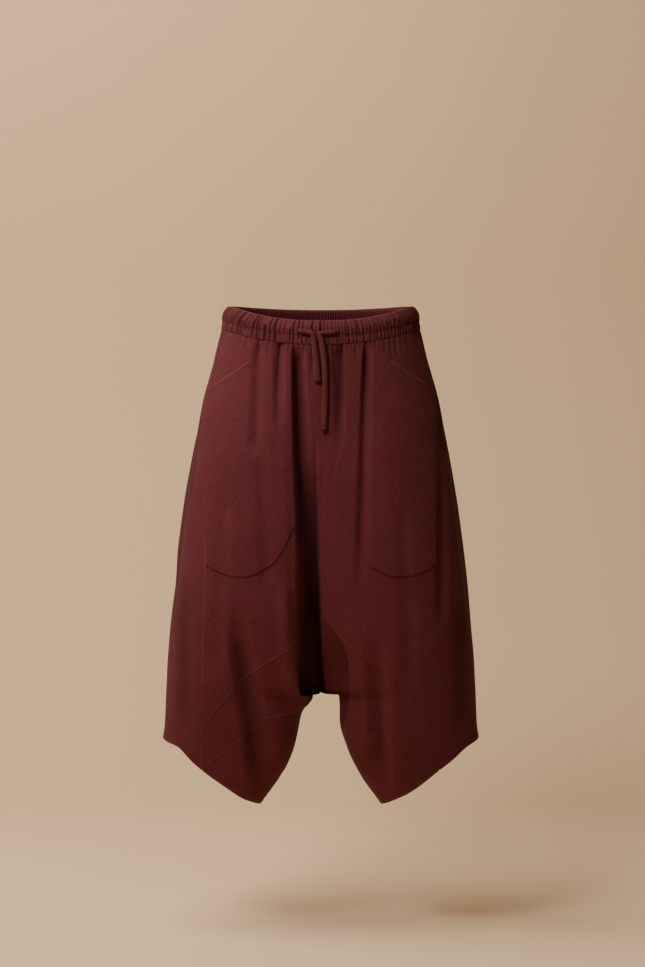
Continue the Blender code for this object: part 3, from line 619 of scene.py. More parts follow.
    def oval_points(self, station: Array, level: Array) -> tuple[Array, Array, Array]:
        """Place points on the plain ovals of the side at +X.

        Args:
            station: Places round the half garment.
            level: Places down it.

        Returns:
            The points, the ways out of the ovals at them, and their angles.
        """
        sizes = self.sizes(level)
        angle = self.angle(sizes, station)
        middle = (sizes["side_x"] + sizes["inner_x"]) / 2.0
        half = (sizes["side_x"] - sizes["inner_x"]) / 2.0
        depth = np.where(angle < math.pi, sizes["front"], sizes["back"])
        across, along = np.cos(angle), np.sin(angle)
        power = 2.0 / np.where((across > 0.0) & (angle < math.pi), sizes["power"], self.section_power)
        x = middle - half * raised(across, power)
        y = -depth * raised(along, power)
        start = np.maximum(sizes["inner_x"], 0.0)
        inward = (sizes["side_x"] - x) / (sizes["side_x"] - start)
        z = sizes["side_z"] + (sizes["inner_z"] - sizes["side_z"]) * inward
        z = z - sizes["dip"] * np.maximum(along, 0.0) ** 2
        out_x = -raised(across, 2.0 - power) / half
        out_x = out_x * np.where(sizes["inner_x"] < 0.0, smooth_step(0.0, self.centre_blend, x), 1.0)
        out_y = -raised(along, 2.0 - power) / depth
        out = np.stack((out_x, out_y, np.zeros_like(out_x)), axis=-1)
        out /= np.maximum(np.linalg.norm(out, axis=-1, keepdims=True), LEAST_LENGTH)
        return np.stack((x, y, z), axis=-1), out, angle

    def fold_depth(self, front: Array, x: Array, z: Array) -> Array:
        """Return how far the folds push the cloth in.

        Args:
            front: Whether each point is on the front.
            x: Places across the garment.
            z: Heights.

        Returns:
            Depths, below zero on a ridge.
        """
        depth = np.zeros_like(x)
        for fold in FOLDS:
            u = (z - fold.top_z) / (fold.low_z - fold.top_z)
            inside = (u > 0.0) & (u < 1.0) & (front == (fold.face is Face.FRONT))
            if not inside.any():
                continue
            bend = 2.0 * (fold.top_x - 2.0 * fold.mid_x + fold.low_x)
            rise = fold.low_x - fold.top_x - bend
            line = fold.top_x + rise * u + bend * u * u
            slope = (rise + 2.0 * bend * u) / (fold.low_z - fold.top_z)
            right = fold.top_right + (fold.low_right - fold.top_right) * u
            left = fold.top_left + (fold.low_left - fold.top_left) * u
            away = (x - line) / np.hypot(1.0, slope)
            share = np.clip(np.abs(away) / np.where(away < 0.0, right, left), 0.0, 1.0)
            strength = fold.top_depth + (fold.low_depth - fold.top_depth) * u
            strength = strength * smooth_step(0.0, fold.top_fade, u)
            strength = strength * smooth_step(1.0, 1.0 - fold.low_fade, u)
            depth += np.where(inside, strength * (0.5 + 0.5 * np.cos(math.pi * share)), 0.0)
        return depth

    def gather_depth(self, side: int, station: Array, below: Array) -> Array:
        """Return how far the gathers push the cloth in.

        Args:
            side: The sign of X.
            station: Places round the half garment.
            below: How far below the band seam the places are.

        Returns:
            Depths.
        """
        place = side * np.interp(station, self.waist_stations, self.waist_lengths)
        depth = np.zeros_like(station)
        for spot, crease in self.gathers:
            if spot * side < -self.other_side:
                continue
            line = spot + crease.lean * below
            opening = 1.0 + self.gather_opening * below / max(crease.length, self.least_gather)
            share = np.abs(place - line) / (self.gather_width * crease.width * opening)
            fade = smooth_step(crease.length, self.gather_full * crease.length, below)
            push = crease.depth * fade * np.exp(-(share**self.gather_power))
            depth += np.where(share < self.gather_reach, push, 0.0)
        return depth

    def side_depth(self, side: int, station: Array, level: Array) -> Array:
        """Return how far the long soft folds of the sides push the cloth in.

        Args:
            side: The sign of X.
            station: Places round the half garment.
            level: Places down it.

        Returns:
            Depths.
        """
        girth = np.interp(level, self.girth_levels, self.girths)
        depth = np.zeros_like(station)
        for fold in SIDE_FOLDS:
            if fold.hand.value != side:
                continue
            u = np.clip((level - fold.top) / (fold.low - fold.top), 0.0, 1.0)
            line = fold.top_station + (fold.low_station - fold.top_station) * u
            share = np.clip(np.abs(station - line) * girth / fold.width, 0.0, 1.0)
            fade = smooth_step(0.0, self.side_fade, u) * smooth_step(1.0, self.side_low_fade, u)
            depth += fold.depth * fade * (0.5 + 0.5 * np.cos(math.pi * share))
        return depth

    def surface(self, hand: Hand, station: Array, level: Array) -> tuple[Array, Array]:
        """Return the cloth's outer points and how much painted shade its creases and folds get at each.

        Args:
            hand: The wearer's side.
            station: Places round the half garment.
            level: Places down it.

        Returns:
            The points, and the share of painted shade, over 1 in the deepest folds.
        """
        points, out, angle = self.oval_points(station, level)
        top_z = self.oval_points(station, np.zeros_like(level))[0][..., 2]
        side = hand.value
        front = angle < math.pi
        facing = smooth_step(0.0, self.face_blend, np.abs(np.sin(angle)))
        large = self.fold_depth(front, side * points[..., 0], points[..., 2]) * facing
        recess = np.zeros_like(large)
        if hand is Hand.LEFT:
            edge = self.edge_x(points[..., 2])
            drop = self.edge_drop(points[..., 2]) * smooth_step(0.0, self.edge_wall, edge - points[..., 0])
            drop = np.where(front, drop * facing, 0.0)
            recess = smooth_step(0.0, self.drop_blend, drop)
            recess = recess * smooth_step(self.drop_blend, -self.drop_blend, large - drop)
            large = (large + drop + np.hypot(large - drop, self.fold_merge)) / 2.0 - self.fold_merge / 2.0
        small = self.gather_depth(side, station, np.maximum(top_z - points[..., 2], 0.0))
        small = small + self.side_depth(side, station, level)
        # Painted shade: gathers, side folds and deep folds are darkened in colour by their depth, less where
        # the crotch drops behind the edge.
        shade = small / self.crease_scale
        shade = shade + self.fold_dark * smooth_step(*self.fold_range, large) * (1.0 - recess)
        points = points - out * (large + small)[..., None]
        points[..., 0] *= side
        self._shift_edges(hand, points, station, level)
        return points, shade

    def _shift_edges(self, hand: Hand, points: Array, station: Array, level: Array) -> None:
        """Shift the points by the inner edges, the centre and the hem.

        Args:
            hand: The wearer's side.
            points: The cloth's points, which are changed.
            station: Places round the half garment.
            level: Places down it.
        """
        across = np.abs(points[..., 0])
        inner_x = self.curves["inner_x"](level)
        near = smooth_step(self.inner_reach, self.inner_full, across - np.maximum(inner_x, 0.0))
        near = near * smooth_step(0.0, self.centre_reach, across)
        height = points[..., 2].copy()
        for spot in INNER_SPOTS:
            if spot.hand is hand:
                here = np.exp(-((height - spot.z) / spot.height) ** 2)
                points[..., 0] += spot.shift * near * here * smooth_step(*self.leg_levels, level)
        lap = self.centre_lap * (inner_x < -self.least_crossing)
        points[..., 0] -= hand.value * np.where((station <= 0.0) | (station >= 1.0), lap, 0.0)
        for spot in HEM_SPOTS:
            if spot.hand is hand:
                near = np.exp(-((across - spot.x) / spot.width) ** 2)
                points[..., 2] += spot.lift * near * smooth_step(*self.hem_levels, level)

    def find_places(self, face: Face, out: Array, down: Array) -> tuple[Array, Array]:
        """Find places of the cloth as seen from one face.

        Args:
            face: Front or back.
            out: Distances from the centre.
            down: Distances down.

        Returns:
            Their stations, from the centre to the side seam, and their levels.
        """
        low, high = np.zeros_like(out), np.ones_like(out)
        for _ in range(SEARCH_STEPS):
            level = (low + high) / 2.0
            sizes = self.sizes(level)
            start = np.maximum(sizes["inner_x"], 0.0)
            place = np.maximum(out, start)
            inward = (sizes["side_x"] - place) / (sizes["side_x"] - start)
            along = np.sin(self.oval_angle(sizes, place))
            z = sizes["side_z"] + (sizes["inner_z"] - sizes["side_z"]) * inward - sizes["dip"] * along**2
            above = -z < down
            low = np.where(above, level, low)
            high = np.where(above, high, level)
        sizes = self.sizes(level)
        angle = self.oval_angle(sizes, np.maximum(out, np.maximum(sizes["inner_x"], 0.0)), face)
        low, high = np.zeros_like(out), np.full_like(out, self.side_station)
        for _ in range(SEARCH_STEPS):
            station = (low + high) / 2.0
            if face is Face.FRONT:
                before = self.angle(sizes, station) < angle
            else:
                before = 2.0 * math.pi - self.angle(sizes, 1.0 - station) < angle
            low = np.where(before, station, low)
            high = np.where(before, high, station)
        return station, level

    def seam(self, face: Face, places: Sequence[Place]) -> SmoothCurve:
        """Turn a sewn line into levels.

        Args:
            face: Front or back.
            places: Places of the line, seen from that face.

        Returns:
            The line's level against its station.
        """
        outs = np.linspace(places[0].out, places[-1].out, SEAM_SAMPLES)
        line = SmoothCurve([place.out for place in places], [place.down for place in places])
        stations, levels = self.find_places(face, outs, line(outs))
        # Where the cloth's lines run along the seam, the places out of order are left out.
        after = np.minimum.accumulate(stations[::-1])[::-1]
        ordered = (stations >= np.maximum.accumulate(stations)) & (stations <= after)
        stations, levels = list(stations[ordered]), list(levels[ordered])
        if stations[0] > 0.0:
            stations.insert(0, 0.0)
            levels.insert(0, levels[0])
        if stations[-1] < self.side_station - self.side_near:
            rise = (levels[-1] - levels[-2]) / (stations[-1] - stations[-2])
            levels.append(levels[-1] + rise * (self.side_station - stations[-1]))
            stations.append(self.side_station)
        return SmoothCurve(stations, levels)


# Mesh making

@dataclass
class ClothGrid:
    """A grid of cloth points and the painted shade of their creases and folds, with the ways out and the
    lengths both ways.
    """

    points: Array
    # How much painted shade each point gets, from its creases' and folds' depth.
    crease: Array
    flip: bool = False
    normals: Array = field(init=False)
    across: Array = field(init=False)
    down: Array = field(init=False)

    def __post_init__(self) -> None:
        """Measure the grid."""
        self.measure()

    def measure(self) -> None:
        """Work out the ways out of the cloth and the lengths from the grid's points."""
        along_row = np.gradient(self.points, axis=1)
        along_column = np.gradient(self.points, axis=0)
        normals = np.cross(along_row, along_column)
        if self.flip:
            normals = -normals
        self.normals = normals / np.maximum(np.linalg.norm(normals, axis=-1, keepdims=True), 1e-12)
        steps = np.linalg.norm(np.diff(self.points, axis=1), axis=-1)
        self.across = np.concatenate((np.zeros((steps.shape[0], 1)), np.cumsum(steps, axis=1)), axis=1)
        steps = np.linalg.norm(np.diff(self.points, axis=0), axis=-1)
        self.down = np.concatenate((np.zeros((1, steps.shape[1])), np.cumsum(steps, axis=0)), axis=0)

    def line_near(self, edge: Edge, distance: float) -> Line:
        """Return the points and ways out along a line at a distance from an edge.

        Args:
            edge: The edge.
            distance: How far in from it.

        Returns:
            The line's points and ways out.
        """
        lengths, points, normals = self.across, self.points, self.normals
        if edge in (Edge.TOP, Edge.LOW):
            lengths, points, normals = self.down.T, points.swapaxes(0, 1), normals.swapaxes(0, 1)
        found, ways = [], []
        for k in range(len(points)):
            place = distance if edge in (Edge.TOP, Edge.FIRST) else lengths[k, -1] - distance
            if not 0.0 <= place <= lengths[k, -1]:
                continue
            found.append([np.interp(place, lengths[k], points[k, :, axis]) for axis in range(3)])
            ways.append([np.interp(place, lengths[k], normals[k, :, axis]) for axis in range(3)])
        return np.array(found), np.array(ways)


@dataclass(frozen=True)
class EdgeDress:
    """How the cloth rises and sinks beside one edge."""

    sink: float
    sink_width: float
    rise: float = 0.0
    rise_place: float = 0.0035
    rise_width: float = 0.0020

    def height(self, distance: Array) -> Array:
        """Return how far out the cloth stands at each distance from the edge."""
        raised = self.rise * np.exp(-((distance - self.rise_place) / self.rise_width) ** 2)
        return raised - self.sink * np.exp(-((distance / self.sink_width) ** 2))


SEWN_EDGE = EdgeDress(sink=0.0005, sink_width=0.0007, rise=0.0006, rise_place=0.0020, rise_width=0.0012)
FAINT_EDGE = EdgeDress(sink=0.0004, sink_width=0.0006, rise=0.0002, rise_place=0.0020, rise_width=0.0012)
SIDE_EDGE = EdgeDress(sink=0.0001, sink_width=0.0005, rise=0.0006, rise_place=0.0014, rise_width=0.0011)
CENTRE_EDGE = EdgeDress(sink=0.0002, sink_width=0.0005)
TUCKED_EDGE = EdgeDress(sink=0.0008, sink_width=0.0014)
HEM_EDGE = EdgeDress(sink=0.0005, sink_width=0.0008, rise=0.0004, rise_place=0.0024, rise_width=0.0022)
PLAIN_EDGE = EdgeDress(sink=0.0004, sink_width=0.0008)


@dataclass
class ClothShell:
    """A thin closed shell of cloth over a grid, which is its outer side."""

    name: str
    grid: ClothGrid
    thickness: float
    top: EdgeDress
    low: EdgeDress
    first: EdgeDress
    last: EdgeDress
    seam_height: float = 0.0004
    most_relief: float = 1.9
    sharp_angle: float = math.radians(62.0)

    def build(self, material: Material) -> Object:
        """Make the shell's mesh and object.

        Args:
            material: The cloth's finish.

        Returns:
            The object.
        """
        grid = self.grid
        ends = (grid.down, grid.down[-1:, :] - grid.down, grid.across, grid.across[:, -1:] - grid.across)
        lift = np.zeros_like(grid.down)
        for dress, distance in zip((self.top, self.low, self.first, self.last), ends):
            lift += dress.height(distance)
        outer = grid.points + grid.normals * lift[..., None]
        inner = grid.points - grid.normals * self.thickness
        verts = np.concatenate((outer.reshape(-1, 3), inner.reshape(-1, 3)))
        data = bpy.data.meshes.new(self.name)
        data.from_pydata(verts.tolist(), [], self._faces().tolist())
        data.update()
        self._fix_direction(data)
        write_uv(data, np.stack((grid.across, grid.down), axis=-1).reshape(-1, 2))
        # Painted highlight: where the cloth stands raised along its seams, hem and pocket mouth, it is marked
        # to turn paler, as an edge that catches the light.
        seam = np.clip(lift / self.seam_height, 0.0, 1.0).reshape(-1)
        write_value(data, "seam", np.concatenate((seam, seam * 0.0)))
        # Painted shade of the creases and folds, on the outer side only.
        relief = np.clip(grid.crease, 0.0, self.most_relief).reshape(-1)
        write_value(data, "relief", np.concatenate((relief, relief * 0.0)))
        thing = new_object(self.name, data, material)
        data.set_sharp_from_angle(angle=self.sharp_angle)
        return thing

    def _faces(self) -> Array:
        """Join up the shell's points.

        Returns:
            The faces of the outer side, the inner side and the four rims.
        """
        index = np.arange(self.grid.down.size).reshape(self.grid.down.shape)
        corners = (index[:-1, :-1], index[1:, :-1], index[1:, 1:], index[:-1, 1:])
        outer = np.stack(corners, axis=-1).reshape(-1, 4)
        rims = (
            (index[0, :-1], index[0, 1:]), (index[1:, 0], index[:-1, 0]),
            (index[-1, 1:], index[-1, :-1]), (index[:-1, -1], index[1:, -1]),
        )
        ends = [np.stack((a, b, b + index.size, a + index.size), axis=-1) for a, b in rims]
        faces = np.concatenate([outer, outer[:, ::-1] + index.size] + ends)
        return faces[:, ::-1] if self.grid.flip else faces

    def _fix_direction(self, data: Mesh) -> None:
        """Turn the faces out, judged by the middle face of the outer side.

        Args:
            data: The shell's mesh.
        """
        rows, columns = self.grid.points.shape[:2]
        middle = (rows // 2) * (columns - 1) + columns // 2
        way = Vector(self.grid.normals[rows // 2, columns // 2])
        if data.polygons[middle].normal.dot(way) < 0.0:
            data.flip_normals()


def write_uv(data: Mesh, flat: Array) -> None:
    """Write a mesh's UV map, in metres of cloth.

    Args:
        data: The mesh.
        flat: Places on the flat cloth, one a vertex. The inner side's vertices use them again.
    """
    layer = data.uv_layers.new(name=UV_NAME)
    corners = np.empty(len(data.loops), dtype=np.int64)
    data.loops.foreach_get("vertex_index", corners)
    layer.data.foreach_set("uv", flat[corners % len(flat)].reshape(-1))


def write_value(data: Mesh, name: str, values: Array) -> None:
    """Write one value a vertex, under a name that a finish reads."""
    attribute = data.attributes.new(name, "FLOAT", "POINT")
    attribute.data.foreach_set("value", values.astype(np.float32))


def link(thing: Object) -> Object:
    """Put an object in the scene and return it."""
    bpy.context.scene.collection.objects.link(thing)
    return thing


def new_object(name: str, data: Mesh, material: Material) -> Object:
    """Make a smooth object of a mesh, in a finish.

    Args:
        name: The object's name.
        data: Its mesh.
        material: Its finish.

    Returns:
        The new object.
    """
    data.shade_smooth()
    data.materials.append(material)
    return link(bpy.data.objects.new(name, data))


def spread(count: int, start: float, end: float, power: float = 1.0) -> Array:
    """Return places from start to end, closer together at the start where power is over 1."""
    return start + (end - start) * np.linspace(0.0, 1.0, count + 1) ** power


def with_edges(places: Array, length: float, steps: Sequence[float]) -> Array:
    """Add places close to both ends, so that an edge can be rounded.

    Args:
        places: Places from first to last.
        length: The real length that they cover.
        steps: Distances from each end, in metres.

    Returns:
        All places in order.
    """
    span = places[-1] - places[0]
    close = np.array(steps) / length * span
    extra = np.concatenate((places[0] + close, places[-1] - close))
    free = close[-1] * CLEAR_STEP
    inner = places[(places > places[0] + free) & (places < places[-1] - free)]
    return np.sort(np.concatenate(([places[0], places[-1]], inner, extra)))


EDGE_STEPS = (0.0005, 0.0011, 0.0020, 0.0034, 0.0050)
CLEAR_STEP = 1.3
FORWARD = np.array([0.0, -1.0, 0.0])
RIDGE_LEVEL = 1.2


def tube(
    name: str,
    path: Array,
    radii: Array,
    flatness: float,
    material: Material,
    sides: int = 16,
    ridge: float = 0.0,
    ridge_pitch: float = 0.0030,
) -> Object:
    """Make a closed cord along a path.

    Args:
        name: The object's name.
        path: Points of the cord's middle.
        radii: Half widths along it.
        flatness: Half depth against half width.
        material: The cord's finish.
        sides: Number of sides.
        ridge: Height of the woven ridges.
        ridge_pitch: Length of one turn of the ridges.

    Returns:
        The new object.
    """
    lengths = lengths_along(path)
    ways = np.gradient(path, axis=0)
    ways /= np.linalg.norm(ways, axis=1, keepdims=True)
    angles = np.linspace(0.0, 2.0 * math.pi, sides, endpoint=False)
    rings = []
    for point, way, radius, length in zip(path, ways, radii, lengths):
        side = np.cross(way, FORWARD)
        side /= np.linalg.norm(side)
        front = np.cross(side, way)
        turn = 2.0 * math.pi * length / ridge_pitch
        strands = np.abs(np.sin(angles * 2.0 + turn)) + np.abs(np.sin(angles * 2.0 - turn))
        woven = 1.0 + ridge * (strands - RIDGE_LEVEL)
        around = np.cos(angles)[:, None] * side + flatness * np.sin(angles)[:, None] * front
        rings.append(point + radius * woven[:, None] * around)
    verts = np.concatenate(rings + [path[:1], path[-1:]])
    faces = []
    for j in range(len(rings) - 1):
        for k in range(sides):
            n = (k + 1) % sides
            faces.append((j * sides + k, j * sides + n, (j + 1) * sides + n, (j + 1) * sides + k))
    first, last = len(rings) * sides, len(rings) * sides + 1
    for k in range(sides):
        n = (k + 1) % sides
        faces.append((first, n, k))
        faces.append((last, (len(rings) - 1) * sides + k, (len(rings) - 1) * sides + n))
    data = bpy.data.meshes.new(name)
    data.from_pydata(verts.tolist(), [], faces)
    vertex = np.arange(len(verts))
    ring = np.minimum(vertex // sides, len(rings) - 1)
    write_uv(data, np.stack(((vertex % sides) / sides * 2.0 * math.pi * radii[ring], lengths[ring]), axis=-1))
    thing = new_object(name, data, material)
    if data.polygons[0].normal.dot(data.polygons[0].center - Vector(path[0])) < 0.0:
        data.flip_normals()
    return thing


# Finishes

def new_group(name: str, inputs: dict[str, float | None], outputs: Sequence[str]) -> NodeTree:
    """Make an empty shader node group with its sockets.

    Args:
        name: The group's name.
        inputs: Name and plain value of each input. One with no value is a vector.
        outputs: Name of each output, all single values.

    Returns:
        The group, with an input node and an output node in it.
    """
    group = bpy.data.node_groups.new(name, "ShaderNodeTree")
    for label, value in inputs.items():
        kind = "NodeSocketVector" if value is None else "NodeSocketFloat"
        socket = group.interface.new_socket(label, in_out="INPUT", socket_type=kind)
        if value is not None:
            socket.default_value = value
    for label in outputs:
        group.interface.new_socket(label, in_out="OUTPUT", socket_type="NodeSocketFloat")
    group.nodes.new("NodeGroupInput").name = "in"
    group.nodes.new("NodeGroupOutput").name = "out"
    return group


class NodeDesk:
    """Short ways to place and join nodes in one tree."""

    def __init__(self, tree: NodeTree) -> None:
        """Remember the tree."""
        self.tree = tree

    def add(self, kind: str, inputs: dict[str | int, object] | None = None, **settings: object) -> Node:
        """Add a node.

        Args:
            kind: The node's type.
            inputs: What its input sockets get, each a value or another node's output.
            settings: The node's properties.

        Returns:
            The node.
        """
        node = self.tree.nodes.new(kind)
        for name, value in settings.items():
            setattr(node, name, value)
        for name, value in (inputs or {}).items():
            if isinstance(value, Socket):
                self.join(value, node.inputs[name])
            else:
                node.inputs[name].default_value = value
        return node

    def join(self, source: Socket, target: Socket) -> None:
        """Join two sockets."""
        self.tree.links.new(source, target)

    def math(self, operation: str, *values: float | Socket) -> Socket:
        """Add a Math node on sockets or numbers and return its output."""
        return self.add("ShaderNodeMath", dict(enumerate(values)), operation=operation).outputs[0]

    def noise(self, vector: Socket, scale: float, detail: float, rough: float = 0.5) -> Socket:
        """Add a noise texture and return its value output."""
        inputs = {"Scale": scale, "Detail": detail, "Roughness": rough, "Vector": vector}
        return self.add("ShaderNodeTexNoise", inputs).outputs[0]

    def stretch(self, vector: Socket, scale: Point) -> Socket:
        """Scale a vector and return it."""
        return self.add("ShaderNodeMapping", {"Scale": scale, "Vector": vector}).outputs[0]

    def blend(self, first: Colour | Socket, second: Colour, mask: Socket) -> Socket:
        """Mix two colours by a mask and return the result."""
        inputs = {0: mask, 6: first, 7: second}
        return self.add("ShaderNodeMix", inputs, data_type="RGBA", clamp_factor=True).outputs[2]


def build_weave_group() -> NodeTree:
    """Make the weave: crossing threads, every fourth one thicker, with slubs, on the cloth's own lengths.

    Returns:
        The group, with Height and Shade outputs.
    """
    group = new_group(
        "Plain weave",
        {"Cloth": None, "Threads per metre": 900.0, "Slub": 0.5, "Thick threads": 0.08},
        ("Height", "Shade"),
    )
    desk = NodeDesk(group)
    source, target = group.nodes["in"], group.nodes["out"]
    wobble = desk.noise(source.outputs["Cloth"], 160.0, 2.0)
    split = desk.add("ShaderNodeSeparateXYZ", {0: source.outputs["Cloth"]})
    waves, rows = [], []
    for axis in (0, 1):
        turns = desk.math("MULTIPLY", split.outputs[axis], source.outputs["Threads per metre"])
        moved = desk.math("ADD", turns, desk.math("MULTIPLY", wobble, 1.6))
        waves.append(desk.math("SINE", desk.math("MULTIPLY", moved, 2.0 * math.pi)))
        rows.append(moved)
    check = desk.math("MULTIPLY", waves[0], waves[1])
    slub_down = desk.noise(desk.stretch(source.outputs["Cloth"], (760.0, 110.0, 1.0)), 1.0, 2.0, 0.6)
    slub_across = desk.noise(desk.stretch(source.outputs["Cloth"], (140.0, 640.0, 1.0)), 1.0, 2.0, 0.6)
    slubs = desk.math("ADD", slub_down, slub_across)
    slubs = desk.math("MULTIPLY", desk.math("SUBTRACT", slubs, 1.0), source.outputs["Slub"])
    height = desk.math("ADD", desk.math("MULTIPLY", check, 0.35), desk.math("MULTIPLY", slubs, 1.6))
    desk.join(height, target.inputs["Height"])
    shade = desk.math("ADD", desk.math("MULTIPLY", slubs, 1.5), 0.5)
    for moved in rows:
        thick = desk.math("SINE", desk.math("MULTIPLY", moved, 0.5 * math.pi))
        shade = desk.math("ADD", shade, desk.math("MULTIPLY", thick, source.outputs["Thick threads"]))
    desk.join(shade, target.inputs["Shade"])
    return group


def build_tone_group() -> NodeTree:
    """Make the cloth's tone: soft clouds of random tone, a painted highlight on raised seam edges and painted
    shade in creases and folds.

    Returns:
        The group, with a Pale mask of clouds and painted seam highlight, and a mask of painted shade.
    """
    group = new_group(
        "Worn tone",
        {"Clouds": 0.25, "Seam wear": 0.5, "Crease dark": 0.5},
        ("Pale", "Dark"),
    )
    desk = NodeDesk(group)
    source, target = group.nodes["in"], group.nodes["out"]
    place = desk.add("ShaderNodeTexCoord")
    cloud = desk.noise(place.outputs["Object"], 14.0, 3.0, 0.55)
    clouds = desk.math("MULTIPLY", desk.math("SUBTRACT", cloud, 0.5), source.outputs["Clouds"])
    # Painted highlight along raised seam edges, read from the seam mask.
    seam = desk.add("ShaderNodeAttribute", attribute_name="seam")
    painted_seam_highlight = desk.math("MULTIPLY", seam.outputs["Fac"], source.outputs["Seam wear"])
    pale = desk.math("MAXIMUM", desk.math("ADD", clouds, painted_seam_highlight), 0.0)
    desk.join(pale, target.inputs["Pale"])
    # Painted shade: creases and folds darkened by their depth, less where the clouds are pale.
    relief = desk.add("ShaderNodeAttribute", attribute_name="relief")
    dark = desk.math("MULTIPLY", relief.outputs["Fac"], source.outputs["Crease dark"])
    dark = desk.math("MAXIMUM", desk.math("SUBTRACT", dark, clouds), 0.0)
    desk.join(dark, target.inputs["Dark"])
    return group


@dataclass(frozen=True)
class ClothFinish:
    """A dyed, matt woven cloth, with painted shade in its creases and folds and a painted highlight on raised
    seam edges.
    """

    name: str
    base: Colour
    # The pale colour takes the clouds of random tone and the painted highlight on raised seam edges.
    pale: Colour
    # Colour of the painted shade in creases and folds.
    dark: Colour
    threads: float
    slub: float
    thick: float
    weave_height: float
    clouds: float
    # Strength of the painted highlight on raised seam edges.
    seam_wear: float
    # Strength of the painted shade in creases and folds.
    crease_dark: float
    roughness: float
    sheen: float
    sheen_tint: Colour
    specular: float
    thread_shade: Pair = (0.35, 1.65)
    rough_range: Pair = (-0.06, 0.05)
    sheen_roughness: float = 0.55

    def build(self, weave: NodeTree, tone: NodeTree) -> Material:
        """Make the material.

        Args:
            weave: The weave group.
            tone: The tone group.

        Returns:
            The material.
        """
        material = bpy.data.materials.new(self.name)
        material.use_nodes = True
        desk = NodeDesk(material.node_tree)
        shader = material.node_tree.nodes["Principled BSDF"]
        cloth = desk.add("ShaderNodeUVMap", uv_map=UV_NAME)
        threads = desk.add("ShaderNodeGroup", node_tree=weave)
        threads.inputs["Threads per metre"].default_value = self.threads
        threads.inputs["Slub"].default_value = self.slub
        threads.inputs["Thick threads"].default_value = self.thick
        desk.join(cloth.outputs[0], threads.inputs["Cloth"])
        tones = desk.add("ShaderNodeGroup", node_tree=tone)
        tones.inputs["Clouds"].default_value = self.clouds
        tones.inputs["Seam wear"].default_value = self.seam_wear
        tones.inputs["Crease dark"].default_value = self.crease_dark
        # Clouds and the painted seam highlight turn the colour pale, then painted shade darkens creases and
        # folds.
        colour = desk.blend(self.base, self.pale, tones.outputs["Pale"])
        colour = desk.blend(colour, self.dark, tones.outputs["Dark"])
        shade = self._span(desk, threads.outputs["Shade"], *self.thread_shade)
        inputs = {0: 1.0, 6: colour, 7: shade}
        tinted = desk.add("ShaderNodeMix", inputs, data_type="RGBA", blend_type="MULTIPLY")
        desk.join(tinted.outputs[2], shader.inputs["Base Color"])
        smoother, rougher = self.rough_range
        rough = self._span(
            desk, threads.outputs["Shade"], self.roughness + smoother, self.roughness + rougher
        )
        desk.join(rough, shader.inputs["Roughness"])
        inputs = {"Strength": 1.0, "Distance": self.weave_height, "Height": threads.outputs["Height"]}
        desk.join(desk.add("ShaderNodeBump", inputs).outputs[0], shader.inputs["Normal"])
        shader.inputs["Metallic"].default_value = 0.0
        shader.inputs["Specular IOR Level"].default_value = self.specular
        shader.inputs["Sheen Weight"].default_value = self.sheen
        shader.inputs["Sheen Roughness"].default_value = self.sheen_roughness
        shader.inputs["Sheen Tint"].default_value = self.sheen_tint
        return material

    @staticmethod
    def _span(desk: NodeDesk, value: Socket, low: float, high: float) -> Socket:
        """Map a value between 0 and 1 to between low and high, and return it."""
        inputs = {"To Min": low, "To Max": high, "Value": value}
        return desk.add("ShaderNodeMapRange", inputs).outputs[0]


BURGUNDY = ClothFinish(
    name="Burgundy linen",
    base=(0.088, 0.0128, 0.0170, 1.0),
    pale=(0.185, 0.050, 0.050, 1.0),
    # Colour of the painted shade in creases and folds.
    dark=(0.028, 0.004, 0.004, 1.0),
    threads=760.0,
    slub=0.55,
    thick=0.062,
    weave_height=0.00028,
    clouds=0.30,
    seam_wear=0.28,
    crease_dark=0.45,
    roughness=0.88,
    sheen=0.022,
    sheen_tint=(0.85, 0.52, 0.52, 1.0),
    specular=0.19,
)
CORD_COTTON = replace(
    BURGUNDY,
    name="Burgundy cord",
    base=(0.078, 0.0115, 0.0150, 1.0),
    pale=(0.150, 0.036, 0.038, 1.0),
    threads=900.0,
    slub=0.45,
    thick=0.03,
    weave_height=0.00022,
    clouds=0.25,
    seam_wear=0.0,
    crease_dark=0.0,
    roughness=0.86,
)
THREAD = ClothFinish(
    name="Burgundy thread",
    base=(0.110, 0.020, 0.022, 1.0),
    pale=(0.180, 0.048, 0.048, 1.0),
    dark=(0.050, 0.009, 0.009, 1.0),
    threads=2400.0,
    slub=0.3,
    thick=0.0,
    weave_height=0.00005,
    clouds=0.2,
    seam_wear=0.0,
    crease_dark=0.0,
    roughness=0.70,
    sheen=0.05,
    sheen_tint=(0.85, 0.55, 0.52, 1.0),
    specular=0.35,
)


@dataclass
class Wardrobe:
    """The finishes, made once."""

    cloth: Material = field(init=False)
    cord: Material = field(init=False)
    thread: Material = field(init=False)

    def __post_init__(self) -> None:
        """Build the groups and the materials."""
        weave = build_weave_group()
        tone = build_tone_group()
        self.cloth = BURGUNDY.build(weave, tone)
        self.cord = CORD_COTTON.build(weave, tone)
        self.thread = THREAD.build(weave, tone)


# Sewing

